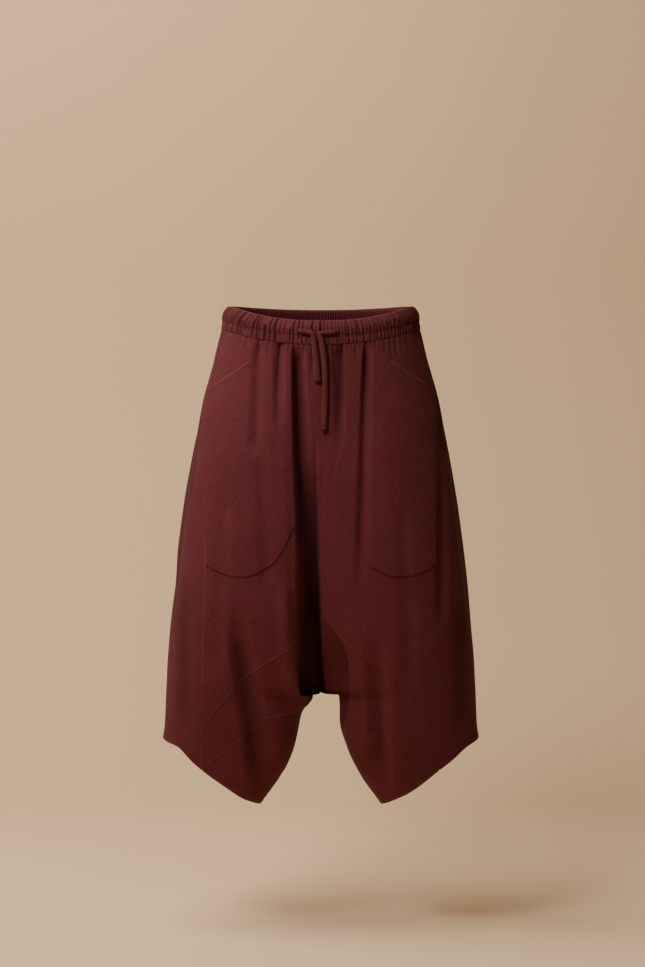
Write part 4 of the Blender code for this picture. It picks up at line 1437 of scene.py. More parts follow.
@dataclass
class Topstitch:
    """A row of small stitches along a line of the cloth."""

    pitch: float = 0.0034
    length: float = 0.0026
    radius: float = 0.00026
    lift: float = 0.00010
    look_ahead: float = 0.0005
    # A stitch's sections: how far along it, how thick and how high, the last two in radii.
    sections: tuple[Point, ...] = ((0.0, 0.25, -1.2), (0.25, 1.0, 0.3), (0.75, 1.0, 0.3), (1.0, 0.25, -1.2))
    corner_turns: tuple[float, ...] = (0.25, 0.75, 1.25, 1.75)

    def rows(self, line: Array, ways: Array) -> tuple[list[Point], list[tuple[int, ...]]]:
        """Return the vertices and faces of the stitches along one line.

        Args:
            line: Points along the cloth.
            ways: Ways out of the cloth at them.

        Returns:
            Vertices and faces.
        """
        lengths = lengths_along(line)

        def read(values: Array, place: float) -> Array:
            """Return the line's values at a place along it."""
            return np.array([np.interp(place, lengths, values[:, axis]) for axis in range(3)])

        verts: list[Point] = []
        faces: list[tuple[int, ...]] = []
        for k in range(int(lengths[-1] / self.pitch)):
            start = (k + 0.5) * self.pitch - self.length / 2.0
            base = len(verts)
            for share, size, height in self.sections:
                place = start + self.length * share
                point, way = read(line, place), read(ways, place)
                across = np.cross(read(line, place + self.look_ahead) - point, way)
                across /= max(np.linalg.norm(across), LEAST_LENGTH)
                middle = point + way * (self.lift + self.radius * height)
                for angle in self.corner_turns:
                    turned = across * math.cos(angle * math.pi) + way * math.sin(angle * math.pi)
                    verts.append(tuple(middle + turned * self.radius * size))
            for j in range(3):
                for n in range(4):
                    m = (n + 1) % 4
                    a, b = base + 4 * j, base + 4 * (j + 1)
                    faces.append((a + n, a + m, b + m, b + n))
            faces.append(tuple(base + n for n in (3, 2, 1, 0)))
            faces.append(tuple(base + 12 + n for n in range(4)))
        return verts, faces

    def build(self, name: str, lines: Sequence[Line], material: Material) -> Object:
        """Make one object of stitches along several lines.

        Args:
            name: The object's name.
            lines: Each line's points and the ways out at them.
            material: The thread's finish.

        Returns:
            The object.
        """
        verts: list[Point] = []
        faces: list[tuple[int, ...]] = []
        for line, ways in lines:
            if len(line) < 3:
                continue
            more_verts, more_faces = self.rows(line, ways)
            faces += [tuple(corner + len(verts) for corner in ring) for ring in more_faces]
            verts += more_verts
        data = bpy.data.meshes.new(name)
        data.from_pydata(verts, [], faces)
        write_uv(data, np.array(verts)[:, ::2])
        return new_object(name, data, material)


# Cloth pieces

@dataclass(frozen=True)
class CutPiece:
    """One cut piece of cloth: the node that it replaces and its flat size."""

    node: str
    flat: Pair
    area: float
    held: Held


def declare(thing: Object, cut: CutPiece) -> None:
    """Ride and replace a cloth piece, and log its faces.

    Args:
        thing: The piece.
        cut: What it was cut as.
    """
    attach(thing, BODY)
    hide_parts(cut.node)
    LOG.info("%s: %d faces for %s", thing.name, len(thing.data.polygons), cut.node)


def add_trim(thing: Object) -> None:
    """Ride a small piece that replaces nothing, and log its faces.

    Args:
        thing: The piece.
    """
    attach(thing, BODY)
    LOG.info("%s: %d faces", thing.name, len(thing.data.polygons))


@dataclass
class LegPanels:
    """The panels of both halves: fronts, backs, leg bands and lower legs."""

    form: PantsForm
    wardrobe: Wardrobe
    wall: float = 0.0012
    front_columns: int = 184
    back_columns: int = 198
    leg_columns: int = 120
    body_rows: int = 166
    band_rows: int = 40
    lower_rows: int = 34
    centre_power: float = 1.25
    row_power: float = 1.22
    # Real lengths of the panels, by which their edges' close rows and columns are placed.
    front_width: float = 0.25
    back_width: float = 0.38
    body_height: float = 0.62
    leg_height: float = 0.09
    seam_tip: float = 0.0025
    hem_level: float = 0.999
    stitch_inset: float = 0.0028
    hem_stitch: float = 0.0055
    stitches: Topstitch = field(default_factory=Topstitch)
    grids: dict[str, ClothGrid] = field(default_factory=dict)
    things: dict[str, Object] = field(default_factory=dict)
    at_hem: dict[int, Array] = field(default_factory=dict)

    def build(self) -> None:
        """Make every panel and its sewing."""
        lines: list[Line] = []
        hems: list[Line] = []
        for face in Face:
            upper = self.form.seam(face, UPPER_LEG_SEAM[face])
            lower = self.form.seam(face, LOWER_LEG_SEAM[face])
            for hand in Hand:
                self._panel(face, hand, None, upper, self.body_rows)
                self._panel(face, hand, upper, lower, self.band_rows)
                self._panel(face, hand, lower, None, self.lower_rows)
                key = f"{face.value}_{hand.word}"
                body, band = self.grids[key], self.grids[f"leg_band_{key}"]
                lines += [grid.line_near(Edge.LOW, self.stitch_inset) for grid in (body, band)]
                hems.append(self.grids[f"lower_leg_{key}"].line_near(Edge.LOW, self.hem_stitch))
                hems += [self._hem_part(grid) for grid in (band, body)]
                if face is Face.FRONT:
                    lines += [grid.line_near(Edge.LAST, self.stitch_inset) for grid in (body, band)]
        add_trim(self.stitches.build("Leg_seam_topstitching", lines, self.wardrobe.thread))
        add_trim(self.stitches.build("Hem_topstitching", hems, self.wardrobe.thread))

    def _hem_part(self, grid: ClothGrid) -> Line:
        """Return the hem stitch line of a panel that reaches the hem only at its outer part.

        Args:
            grid: The panel's grid.

        Returns:
            The line's points and ways out.
        """
        line, ways = grid.line_near(Edge.LOW, self.hem_stitch)
        keep = self.at_hem[id(grid)]
        count = min(len(line), len(keep))
        mask = keep[-count:]
        return line[-count:][mask], ways[-count:][mask]

    def _station_end(self, seam: SmoothCurve) -> float:
        """Return the station at which a seam runs out at the hem, or the side seam.

        Args:
            seam: The seam's level against its station.

        Returns:
            The station.
        """
        stations = np.linspace(0.0, self.form.side_station, 2001)
        inside = seam(stations) < 1.0 - self.seam_tip
        return float(stations[inside][-1])

    def _panel(
        self, face: Face, hand: Hand, top: SmoothCurve | None, low: SmoothCurve | None, rows: int
    ) -> None:
        """Make one panel.

        Args:
            face: Front or back.
            hand: The wearer's side.
            top: The seam above, or None at the waist.
            low: The seam below, or None at the hem.
            rows: Number of rows.
        """
        end = self.form.side_station if top is None else self._station_end(top)
        columns, width = self.back_columns, self.back_width
        if face is Face.FRONT:
            columns, width = self.front_columns, self.front_width
        height, power = self.body_height, self.row_power
        if top is not None:
            columns, height, power = self.leg_columns, self.leg_height, 1.0
        stations = with_edges(spread(columns, 0.0, end, self.centre_power), width, EDGE_STEPS)
        shares = with_edges(spread(rows, 0.0, 1.0, power), height, EDGE_STEPS)
        upper = np.zeros_like(stations) if top is None else top(stations)
        lower = np.ones_like(stations) if low is None else np.minimum(low(stations), 1.0)
        level = upper[None, :] + (lower - upper)[None, :] * shares[:, None]
        place = np.broadcast_to(stations if face is Face.FRONT else 1.0 - stations, level.shape)
        points, crease = self.form.surface(hand, place, level)
        grid = ClothGrid(points, crease, flip=(face is Face.FRONT) == (hand is Hand.LEFT))
        self.at_hem[id(grid)] = lower > self.hem_level
        key = f"{face.value}_{hand.word}"
        node, title = key, f"{face.value.capitalize()}_panel_{hand.word}"
        if top is not None:
            node = f"lower_leg_{key}" if low is None else f"leg_band_{key}"
            title = node.capitalize()
        self.grids[node] = grid
        sewn = SEWN_EDGE if hand is Hand.RIGHT else FAINT_EDGE
        shell = ClothShell(
            name=title,
            grid=grid,
            thickness=self.wall,
            top=TUCKED_EDGE if top is None else PLAIN_EDGE,
            low=HEM_EDGE if low is None else sewn,
            first=CENTRE_EDGE if top is None else PLAIN_EDGE,
            last=SIDE_EDGE if hand is Hand.RIGHT and face is Face.FRONT else CENTRE_EDGE,
        )
        self.things[node] = shell.build(self.wardrobe.cloth)
        declare(self.things[node], CUTS[node])


SIDES = ("front_right", "front_left", "back_right", "back_left")
CUTS = {
    cut.node: cut
    for cut in (
        CutPiece("waistband", (0.950, 0.046), 0.0437, Held.GATHERED),
        CutPiece("front_right", (0.260, 0.640), 0.121, Held.GATHERED),
        CutPiece("front_left", (0.260, 0.640), 0.112, Held.GATHERED),
        CutPiece("back_right", (0.420, 0.700), 0.250, Held.GATHERED),
        CutPiece("back_left", (0.420, 0.700), 0.250, Held.GATHERED),
        CutPiece("pocket_right", (0.165, 0.345), 0.046, Held.HUNG),
        CutPiece("pocket_left", (0.165, 0.345), 0.046, Held.HUNG),
        *(CutPiece(f"leg_band_{side}", (0.320, 0.120), 0.028, Held.HUNG) for side in SIDES),
        *(CutPiece(f"lower_leg_{side}", (0.230, 0.150), 0.022, Held.HUNG) for side in SIDES),
    )
}


@dataclass
class Pockets:
    """The two teardrop patch pockets."""

    form: PantsForm
    wardrobe: Wardrobe
    columns: int = 70
    rows: int = 120
    lift: float = 0.0009
    wall: float = 0.0007
    side_limit: float = 0.494
    width: float = 0.12
    height: float = 0.32
    least_lift: float = 0.0003
    edge_stitch: float = 0.0026
    mouth_stitch: float = 0.0060
    # Where the pocket lies closer to the panel: down it, and across it from its inner edge.
    close_top: Pair = (0.06, 0.16)
    close_low: Pair = (0.62, 0.48)
    close_across: Pair = (0.30, 0.0)
    close_share: float = 0.75
    inner_edge: tuple[Place, ...] = (
        Place(0.1108, 0.0914), Place(0.0970, 0.114), Place(0.0775, 0.153), Place(0.048, 0.205),
        Place(0.0245, 0.252), Place(0.0205, 0.283), Place(0.0255, 0.321), Place(0.0440, 0.3565),
        Place(0.0585, 0.388),
    )
    lower_edge: tuple[Place, ...] = (
        Place(0.0585, 0.388), Place(0.0805, 0.4145), Place(0.117, 0.4302), Place(0.142, 0.4290),
        Place(0.1687, 0.4190), Place(0.181, 0.411),
    )
    mouth: tuple[Place, ...] = (Place(0.1108, 0.0914), Place(0.144, 0.113), Place(0.1790, 0.136))
    mouth_edge: EdgeDress = EdgeDress(
        sink=0.0004, sink_width=0.0006, rise=0.0010, rise_place=0.0022, rise_width=0.0016
    )

    def _line(self, places: Sequence[Place]) -> Callable[[Array], Array]:
        """Turn a line of places into stations and levels.

        Args:
            places: The line's places, seen from the front.

        Returns:
            A function that gives the station and level at each share of the line's length.
        """
        outs = np.array([place.out for place in places])
        downs = np.array([place.down for place in places])
        stations, levels = self.form.find_places(Face.FRONT, outs, downs)
        lengths = np.concatenate(([0.0], np.cumsum(np.hypot(np.diff(outs), np.diff(downs)))))
        shares = lengths / lengths[-1]
        station, level = SmoothCurve(shares, stations), SmoothCurve(shares, levels)
        return lambda share: np.stack((station(share), level(share)), axis=-1)

    def build(self) -> None:
        """Make both pockets and their sewing."""
        inner, mouth, lower = self._line(self.inner_edge), self._line(self.mouth), self._line(self.lower_edge)
        u = with_edges(spread(self.columns, 0.0, 1.0), self.width, EDGE_STEPS[:4])
        v = with_edges(spread(self.rows, 0.0, 1.0), self.height, EDGE_STEPS[:4])
        grid_u, grid_v = np.meshgrid(u, v)
        share_u, share_v = grid_u[..., None], grid_v[..., None]
        top, low = mouth(np.array([0.0, 1.0])), lower(np.array([0.0, 1.0]))
        outer = top[1] + (low[1] - top[1]) * share_v
        across = inner(grid_v) * (1.0 - share_u) + outer * share_u
        down = mouth(grid_u) * (1.0 - share_v) + lower(grid_u) * share_v
        corners = (top[0] * (1.0 - share_u) + top[1] * share_u) * (1.0 - share_v)
        corners += (low[0] * (1.0 - share_u) + low[1] * share_u) * share_v
        places = across + down - corners
        close = smooth_step(*self.close_top, grid_v) * smooth_step(*self.close_low, grid_v)
        close = close * smooth_step(*self.close_across, grid_u)
        lift = self.wall + self.lift * (1.0 - close) - self.close_share * self.wall * close
        lines = []
        for hand in Hand:
            station = np.minimum(places[..., 0], self.side_limit)
            points, crease = self.form.surface(hand, station, places[..., 1])
            grid = ClothGrid(points, crease, flip=hand is Hand.LEFT)
            grid.points = grid.points + grid.normals * np.maximum(lift, self.least_lift)[..., None]
            grid.measure()
            name = f"Pocket_{hand.word}"
            shell = ClothShell(name, grid, self.wall, self.mouth_edge, PLAIN_EDGE, PLAIN_EDGE, PLAIN_EDGE)
            declare(shell.build(self.wardrobe.cloth), CUTS[f"pocket_{hand.word}"])
            lines += [grid.line_near(edge, self.edge_stitch) for edge in (Edge.LOW, Edge.FIRST)]
            lines.append(grid.line_near(Edge.TOP, self.mouth_stitch))
        add_trim(Topstitch().build("Pocket_topstitching", lines, self.wardrobe.thread))


@dataclass(frozen=True)
class BandRow:
    """A row of the waistband's section: how far down, how far out, and how strong its gathers are."""

    down: float
    outer: float
    gather: float


@dataclass(frozen=True)
class Groove:
    """A line of stitches round the waistband, and the groove that it draws."""

    down: float
    depth: float
    width: float


@dataclass
class Waistband:
    """The gathered, elasticated casing."""

    wardrobe: Wardrobe
    half_width: float = 0.1475
    depth: float = 0.0945
    dip: float = 0.029
    back_rise: float = 0.0018
    flank_rise: float = 0.0028
    section_power: float = 2.3
    columns: int = 1340
    angle_samples: int = 8001
    outer_rows: int = 31
    inner_rows: int = 12
    checked_row: int = 8
    rib_pitch: float = 0.0038
    rib_depth: float = 0.0019
    rib_power: float = 1.3
    # Painted shade along the inner ribs, and the scale and cap of the casing's painted shade.
    rib_dark: float = 0.0040
    rib_dark_power: float = 2.4
    crease_scale: float = 0.0020
    most_relief: float = 1.5
    way_step: float = 0.0106
    seed: int = 5
    height: float = 0.039
    # Creases lean away from the front centre by the sweep, above the height at which they start to.
    sweep: float = 0.0115
    sweep_range: Pair = (-0.0012, 0.0016)
    sweep_from: float = 0.032
    bend: float = 0.0008
    steps_right: tuple[float, ...] = (0.0044, 0.0056, 0.0068, 0.0080)
    steps_left: tuple[float, ...] = (0.0038, 0.0046, 0.0054, 0.0062)
    depths: tuple[float, ...] = (0.0015, 0.0020, 0.0027, 0.0034)
    depth_range: Pair = (0.85, 1.15)
    width_range: Pair = (0.0009, 0.0013)
    crease_power: float = 1.4
    crease_reach: float = 5.0
    crease_before: float = 0.004
    crease_after: float = 0.002
    crease_tail: float = 0.003
    crease_spans: tuple[Pair, ...] = (
        (0.0, 0.0420), (0.0010, 0.0420), (0.0, 0.0300), (0.0150, 0.0420), (0.0, 0.0240), (0.0, 0.0420),
    )
    grooves: tuple[Groove, ...] = (Groove(0.0046, 0.0005, 0.0012), Groove(0.0245, 0.0006, 0.0014))
    profile: tuple[BandRow, ...] = (
        BandRow(-0.0006, 0.0012, 0.35),
        BandRow(0.0012, 0.0042, 0.75),
        BandRow(0.0050, 0.0076, 1.00),
        BandRow(0.0105, 0.0106, 1.00),
        BandRow(0.0165, 0.0119, 1.00),
        BandRow(0.0215, 0.0120, 1.00),
        BandRow(0.0243, 0.0117, 1.00),
        BandRow(0.0270, 0.0120, 1.00),
        BandRow(0.0320, 0.0128, 1.00),
        BandRow(0.0365, 0.0130, 0.80),
        BandRow(0.0385, 0.0124, 0.70),
    )
    inner_profile: tuple[BandRow, ...] = (
        BandRow(-0.0006, 0.0006, 0.10),
        BandRow(0.0020, -0.0004, 0.60),
        BandRow(0.0150, 0.0018, 1.00),
        BandRow(0.0245, 0.0038, 0.60),
        BandRow(0.0385, 0.0076, 0.60),
    )

    def _curve(self, rows: Sequence[BandRow], name: str) -> SmoothCurve:
        """Return one size of the section against how far down it is."""
        return SmoothCurve([row.down for row in rows], [getattr(row, name) for row in rows])

    def _angles(self) -> tuple[Array, Array]:
        """Space the columns evenly round the ring.

        Returns:
            Their angles, from the front centre, and their lengths round the ring.
        """
        fine = np.linspace(0.0, 2.0 * math.pi, self.angle_samples) + math.pi / 2.0
        power = 2.0 / self.section_power
        x = self.half_width * raised(np.cos(fine), power)
        y = self.depth * raised(np.sin(fine), power)
        lengths = np.concatenate(([0.0], np.cumsum(np.hypot(np.diff(x), np.diff(y)))))
        places = np.linspace(0.0, lengths[-1], self.columns, endpoint=False)
        return np.interp(places, lengths, fine), places

    def _creases(self, places: Array, down: Array, length: float) -> Array:
        """Draw the casing's creases, the same ones each time.

        Args:
            places: Lengths round the ring.
            down: Distances down.
            length: The whole way round.

        Returns:
            How deep the creases are at the places.
        """
        draw = random.Random(self.seed)
        depth = np.zeros_like(places)
        spot = 0.0
        while spot < length:
            share = (spot if spot < length / 2.0 else spot - length) / (length / 2.0)
            step = draw.choice(self.steps_right if share < 0.0 else self.steps_left)
            strong = draw.choice(self.depths) * draw.uniform(*self.depth_range)
            width = draw.uniform(*self.width_range)
            start, end = draw.choice(self.crease_spans)
            sweep = self.sweep * math.sin(math.pi * share) ** 2 + draw.uniform(*self.sweep_range)
            rise = np.maximum(self.sweep_from - down, 0.0) / self.sweep_from
            bend = draw.uniform(-1.0, 1.0) * self.bend
            line = spot - math.copysign(sweep, share) * rise**2
            line = line + bend * np.sin(down / self.height * math.pi * 2.0)
            away = np.abs((places - line + length / 2.0) % length - length / 2.0) / width
            fade = smooth_step(start - self.crease_before, start + self.crease_after, down)
            fade = fade * smooth_step(end + self.crease_tail, end - self.crease_tail, down)
            push = strong * fade * np.exp(-(away**self.crease_power))
            depth += np.where(away < self.crease_reach, push, 0.0)
            spot += step
        for groove in self.grooves:
            depth = depth + groove.depth * np.exp(-((down - groove.down) / groove.width) ** 2)
        return depth

    def build(self) -> None:
        """Make the casing and its elastic's stitches, and put the casing in place of its node."""
        angles, places = self._angles()
        length = places[-1] + places[1]
        outer_down = spread(self.outer_rows, self.profile[0].down, self.profile[-1].down)
        inner_down = spread(self.inner_rows, self.inner_profile[-1].down, self.inner_profile[0].down)
        rings, creases = [], []
        outer, strength = self._curve(self.profile, "outer"), self._curve(self.profile, "gather")
        for down in outer_down:
            crease = self._creases(places, np.full_like(places, down), length) * strength(down)
            rings.append(self._ring(angles, down, outer(down) - crease))
            creases.append(crease)
        inner, ribs = self._curve(self.inner_profile, "outer"), self._curve(self.inner_profile, "gather")
        for down in inner_down:
            wave = np.abs(np.sin(math.pi * places / (length / round(length / self.rib_pitch))))
            reach = inner(down) + self.rib_depth * ribs(down) * (1.0 - wave) ** self.rib_power
            rings.append(self._ring(angles, down, reach))
            # Painted shade along the ribs, by the same wave that shapes them.
            creases.append((1.0 - wave) ** self.rib_dark_power * self.rib_dark * ribs(down))
        self.thing = self._mesh(rings, creases, places)
        declare(self.thing, CUTS["waistband"])
        lines = []
        for down in (groove.down for groove in self.grooves):
            crease = self._creases(places, np.full_like(places, down), length) * strength(down)
            line = self._ring(angles, down, outer(down) - crease)
            way = self._ring(angles, down, outer(down) + self.way_step)
            way = way - self._ring(angles, down, outer(down))
            lines.append((line, way / np.linalg.norm(way, axis=1, keepdims=True)))
        add_trim(Topstitch().build("Waistband_topstitching", lines, self.wardrobe.thread))

    def _ring(self, angles: Array, down: float, reach: Array | float) -> Array:
        """Place one ring of points.

        Args:
            angles: The columns' angles.
            down: How far down the ring is.
            reach: How far out of the casing's inner edge it is.

        Returns:
            The points.
        """
        power = 2.0 / self.section_power
        across, along = np.cos(angles), np.sin(angles)
        x = -(self.half_width + reach) * raised(across, power)
        y = -(self.depth + reach) * raised(along, power)
        behind = np.maximum(-along, 0.0)
        z = -down - self.dip * np.maximum(along, 0.0) ** 2
        rise = self.back_rise + self.flank_rise * 4.0 * (1.0 - behind)
        z = z + behind * rise * (1.0 - down / self.height)
        return np.stack((x, y, z), axis=-1)

    def _mesh(self, rings: list[Array], creases: list[Array], places: Array) -> Object:
        """Make the closed ring from its rows.

        Args:
            rings: Each row's points, down the outer side and up the inner one.
            creases: The creases' and grooves' depths on the outer side and the ribs' amount on the inner
                side, which set the painted shade.
            places: The columns' lengths round the ring.

        Returns:
            The casing.
        """
        count, rows = len(places), len(rings)
        verts = np.concatenate(rings)
        index = np.arange(count * rows).reshape(rows, count)
        after = np.roll(index, -1, axis=1)
        below = np.roll(index, -1, axis=0)
        below_after = np.roll(below, -1, axis=1)
        faces = np.stack((index, below, below_after, after), axis=-1).reshape(-1, 4)
        data = bpy.data.meshes.new("Waistband_casing")
        data.from_pydata(verts.tolist(), [], faces.tolist())
        data.update()
        steps = lengths_along(np.array([ring[0] for ring in rings]))
        write_uv(data, np.stack((np.tile(places, rows), np.repeat(steps, count)), axis=-1))
        # Painted shade of the casing's creases, stitch grooves and ribs.
        relief = np.clip(np.concatenate(creases) / self.crease_scale, 0.0, self.most_relief)
        write_value(data, "relief", relief)
        write_value(data, "seam", relief * 0.0)
        thing = new_object("Waistband_casing", data, self.wardrobe.cloth)
        top = data.polygons[count // 2 + self.checked_row * count]
        if top.normal.y * top.center.y < 0.0:
            data.flip_normals()
        return thing


# Drawstring

@dataclass(frozen=True)
class Spot:
    """A place of the drawstring, seen from the front."""

    x: float
    z: float


class Ground:
    """The cloth that the drawstring lies on, seen from the front."""

    sight: float = 0.3

    def __init__(self, things: Sequence[Object]) -> None:
        """Gather the faces of the pieces.

        Args:
            things: The pieces that lie under the drawstring.
        """
        self.trees = []
        for thing in things:
            verts = [vertex.co for vertex in thing.data.vertices]
            rings = [tuple(face.vertices) for face in thing.data.polygons]
            self.trees.append(BVHTree.FromPolygons(verts, rings))

    def front(self, x: float, z: float, reach: float) -> float:
        """Return the most forward place of the cloth within reach of a spot.

        Args:
            x: Place across.
            z: Height.
            reach: How far round the spot to look.

        Returns:
            The Y of the cloth there.
        """
        nearest = 0.0
        for across in (-1.0, -0.5, 0.0, 0.5, 1.0):
            for down in (-1.0, 0.0, 1.0):
                start = Vector((x + across * reach, -self.sight, z + down * reach))
                for tree in self.trees:
                    hit = tree.ray_cast(start, Vector((0.0, 1.0, 0.0)), self.sight)[0]
                    if hit is not None:
                        nearest = min(nearest, hit.y)
        return nearest


class Tail(Enum):
    """The two free tails, each with its number of steps."""

    SHORT = 110
    LONG = 190

    @property
    def word(self) -> str:
        """Return the tail's word, as the frame's node names use it."""
        return self.name.lower()


@dataclass
class Drawstring:
    """The tie: two runs out of the casing, the knot and two free tails."""

    wardrobe: Wardrobe
    ground: Ground
    half_width: float = 0.0046
    flatness: float = 0.60
    lift: float = 0.0003
    ridge: float = 0.05
    rest_window: int = 7
    run_width: float = 0.78
    run_steps: int = 40
    run_lifts: tuple[float, ...] = (-0.0062, -0.0010, 0.0, 0.0004)
    knot_width: float = 0.84
    knot_flatness: float = 0.68
    over_steps: int = 60
    over_lifts: tuple[float, ...] = (0.0006, 0.0018, 0.0028, 0.0028, 0.0024)
    under_steps: int = 50
    under_lifts: tuple[float, ...] = (0.0006, 0.0010, 0.0014, 0.0020, 0.0022)
    # A tail is drawn in above its end knot and tapers at its tip. Places are measured back from the tip.
    waist_back: float = 0.0078
    waist_width: float = 0.0022
    waist_share: float = 0.22
    tip_back: float = 0.0020
    tip_share: float = 0.72
    knot_back: float = 0.0044
    knot_turns: float = 1.8
    knot_points: int = 60
    knot_slide: float = 0.0017
    knot_sway: float = 0.0006
    knot_reach: float = 0.9
    knot_cord: float = 0.0016
    run_right: tuple[Spot, ...] = (
        Spot(-0.0352, -0.0448), Spot(-0.0300, -0.0460), Spot(-0.0240, -0.0473), Spot(-0.0180, -0.0484),
    )
    run_left: tuple[Spot, ...] = (
        Spot(0.0290, -0.0466), Spot(0.0230, -0.0476), Spot(0.0150, -0.0486), Spot(0.0070, -0.0493),
    )
    over: tuple[Spot, ...] = (
        Spot(-0.0200, -0.0480), Spot(-0.0165, -0.0487), Spot(-0.0136, -0.0498), Spot(-0.0120, -0.0520),
        Spot(-0.0114, -0.0545),
    )
    under: tuple[Spot, ...] = (
        Spot(0.0082, -0.0492), Spot(0.0040, -0.0492), Spot(0.0002, -0.0495), Spot(-0.0018, -0.0513),
        Spot(-0.0012, -0.0548),
    )
    short_tail: tuple[Spot, ...] = (
        Spot(-0.0116, -0.0535), Spot(-0.0104, -0.0650), Spot(-0.0088, -0.0800), Spot(-0.0067, -0.0950),
        Spot(-0.0054, -0.1080), Spot(-0.0048, -0.1180), Spot(-0.0045, -0.1272),
    )
    long_tail: tuple[Spot, ...] = (
        Spot(-0.0014, -0.0535), Spot(-0.0002, -0.0580), Spot(0.0014, -0.0650), Spot(0.0030, -0.0757),
        Spot(0.0052, -0.0914), Spot(0.0063, -0.1070), Spot(0.0069, -0.1300), Spot(0.0069, -0.1540),
        Spot(0.0064, -0.1700), Spot(0.0057, -0.1853), Spot(0.0049, -0.2040),
    )
    tail_lifts: tuple[float, ...] = (0.0024, 0.0020, 0.0012, 0.0004, 0.0, 0.0)

    def build(self) -> None:
        """Make the runs, the knot and the tails."""
        self._run(Hand.RIGHT, self.run_right)
        self._run(Hand.LEFT, self.run_left)
        self._knot()
        self._tail(Tail.SHORT, self.short_tail)
        self._tail(Tail.LONG, self.long_tail)

    def _route(self, spots: Sequence[Spot], count: int, lifts: Sequence[float] | None = None) -> Array:
        """Return a line through the spots that rests on the cloth.

        Args:
            spots: Places to pass, seen from the front.
            count: Number of steps.
            lifts: Height over the cloth at each spot, where it isn't just resting.

        Returns:
            The points of the cord's middle.
        """
        flat = smooth_path(np.array([(spot.x, 0.0, spot.z) for spot in spots]), count)
        depth = self.half_width * self.flatness
        rest = np.array([self.ground.front(x, z, self.half_width) for x, _y, z in flat])
        for smooth in (np.min, np.mean):
            padded = np.pad(rest, self.rest_window, mode="edge")
            rest = np.array([smooth(padded[k : k + 2 * self.rest_window + 1]) for k in range(len(rest))])
        flat[:, 1] = rest - self.lift - depth
        if lifts is not None:
            shares = np.linspace(0.0, 1.0, len(flat))
            flat[:, 1] -= np.interp(shares, np.linspace(0.0, 1.0, len(lifts)), lifts)
        return flat

    def _finish(self, thing: Object, node: str) -> None:
        """Ride and replace one piece of the tie, and log its faces.

        Args:
            thing: The piece.
            node: The node that it replaces.
        """
        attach(thing, BODY)
        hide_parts(node)
        LOG.info("%s: %d faces for %s", thing.name, len(thing.data.polygons), node)

    def _cord(self, name: str, path: Array, width: Array | float, flatness: float) -> Object:
        """Make one length of the tie's cord.

        Args:
            name: The object's name.
            path: Points of the cord's middle.
            width: Its width along it, against the tie's.
            flatness: Half depth against half width.

        Returns:
            The object.
        """
        radii = np.full(len(path), self.half_width) * width
        return tube(name, path, radii, flatness, self.wardrobe.cord, ridge=self.ridge)

    def _run(self, hand: Hand, spots: Sequence[Spot]) -> None:
        """Make one run from the casing's eyelet to the knot.

        Args:
            hand: The wearer's side.
            spots: Places that it passes.
        """
        path = self._route(spots, self.run_steps, self.run_lifts)
        thing = self._cord(f"Drawstring_run_{hand.word}", path, self.run_width, self.flatness)
        self._finish(thing, f"drawstring_run_{hand.word}")

    def _knot(self) -> None:
        """Make the knot: the right run passes over the left one, and both turn down."""
        over = self._route(self.over, self.over_steps, self.over_lifts)
        under = self._route(self.under, self.under_steps, self.under_lifts)
        parts = [
            self._cord(f"Drawstring_knot_{k}", path, self.knot_width, self.knot_flatness)
            for k, path in enumerate((over, under))
        ]
        self._finish(join(parts, "Drawstring_knot"), "drawstring_knot")

    def _tail(self, tail: Tail, spots: Sequence[Spot]) -> None:
        """Make one free tail with the small knot at its end.

        Args:
            tail: Which tail.
            spots: Places that it passes.
        """
        path = self._route(spots, tail.value, self.tail_lifts)
        lengths = lengths_along(path)
        back = lengths[-1] - lengths
        drawn_in = np.exp(-((back - self.waist_back) / self.waist_width) ** 2)
        tip = self.tip_share + (1.0 - self.tip_share) * back / self.tip_back
        width = (1.0 - self.waist_share * drawn_in) * np.where(back < self.tip_back, tip, 1.0)
        cord = self._cord(f"Drawstring_tail_{tail.word}", path, width, self.flatness)
        self._finish(cord, f"drawstring_tail_{tail.word}")
        knot = self._end_knot(tail, path, back)
        add_trim(knot)
        LOG.info("%s: %.4f m long", cord.name, lengths[-1])

    def _end_knot(self, tail: Tail, path: Array, back: Array) -> Object:
        """Make the small knot's two turns round the end of a tail.

        Args:
            tail: Which tail.
            path: The tail's points.
            back: How far back from its tip they are.

        Returns:
            The object.
        """
        spot = int(np.argmin(np.abs(back - self.knot_back)))
        way = path[spot + 3] - path[spot - 3]
        way /= np.linalg.norm(way)
        across = np.cross(way, FORWARD)
        across /= np.linalg.norm(across)
        turns = np.linspace(0.0, self.knot_turns * 2.0 * math.pi, self.knot_points)
        slide = np.interp(turns, (0.0, turns[-1]), (-self.knot_slide, self.knot_slide))
        ring = path[spot] + (
            np.cos(turns)[:, None] * across * self.half_width * self.knot_reach
            + np.sin(turns)[:, None] * FORWARD * self.half_width * self.flatness * self.knot_reach
            + (slide + self.knot_sway * np.cos(turns))[:, None] * way
        )
        radii = np.full(self.knot_points, self.knot_cord)
        return tube(f"Drawstring_end_knot_{tail.word}", ring, radii, 1.0, self.wardrobe.cord, sides=8)


def join(parts: Sequence[Object], name: str) -> Object:
    """Join meshes into the first one and give it a name.

    Args:
        parts: Objects with meshes that have the same UV map and material.
        name: The name of the result.

    Returns:
        The joined object.
    """
    work = bmesh.new()
    for part in parts:
        work.from_mesh(part.data)
    data = bpy.data.meshes.new(name)
    work.to_mesh(data)
    work.free()
    data.materials.append(parts[0].data.materials[0])
    for part in parts:
        old = part.data
        bpy.data.objects.remove(part)
        bpy.data.meshes.remove(old)
    return link(bpy.data.objects.new(name, data))


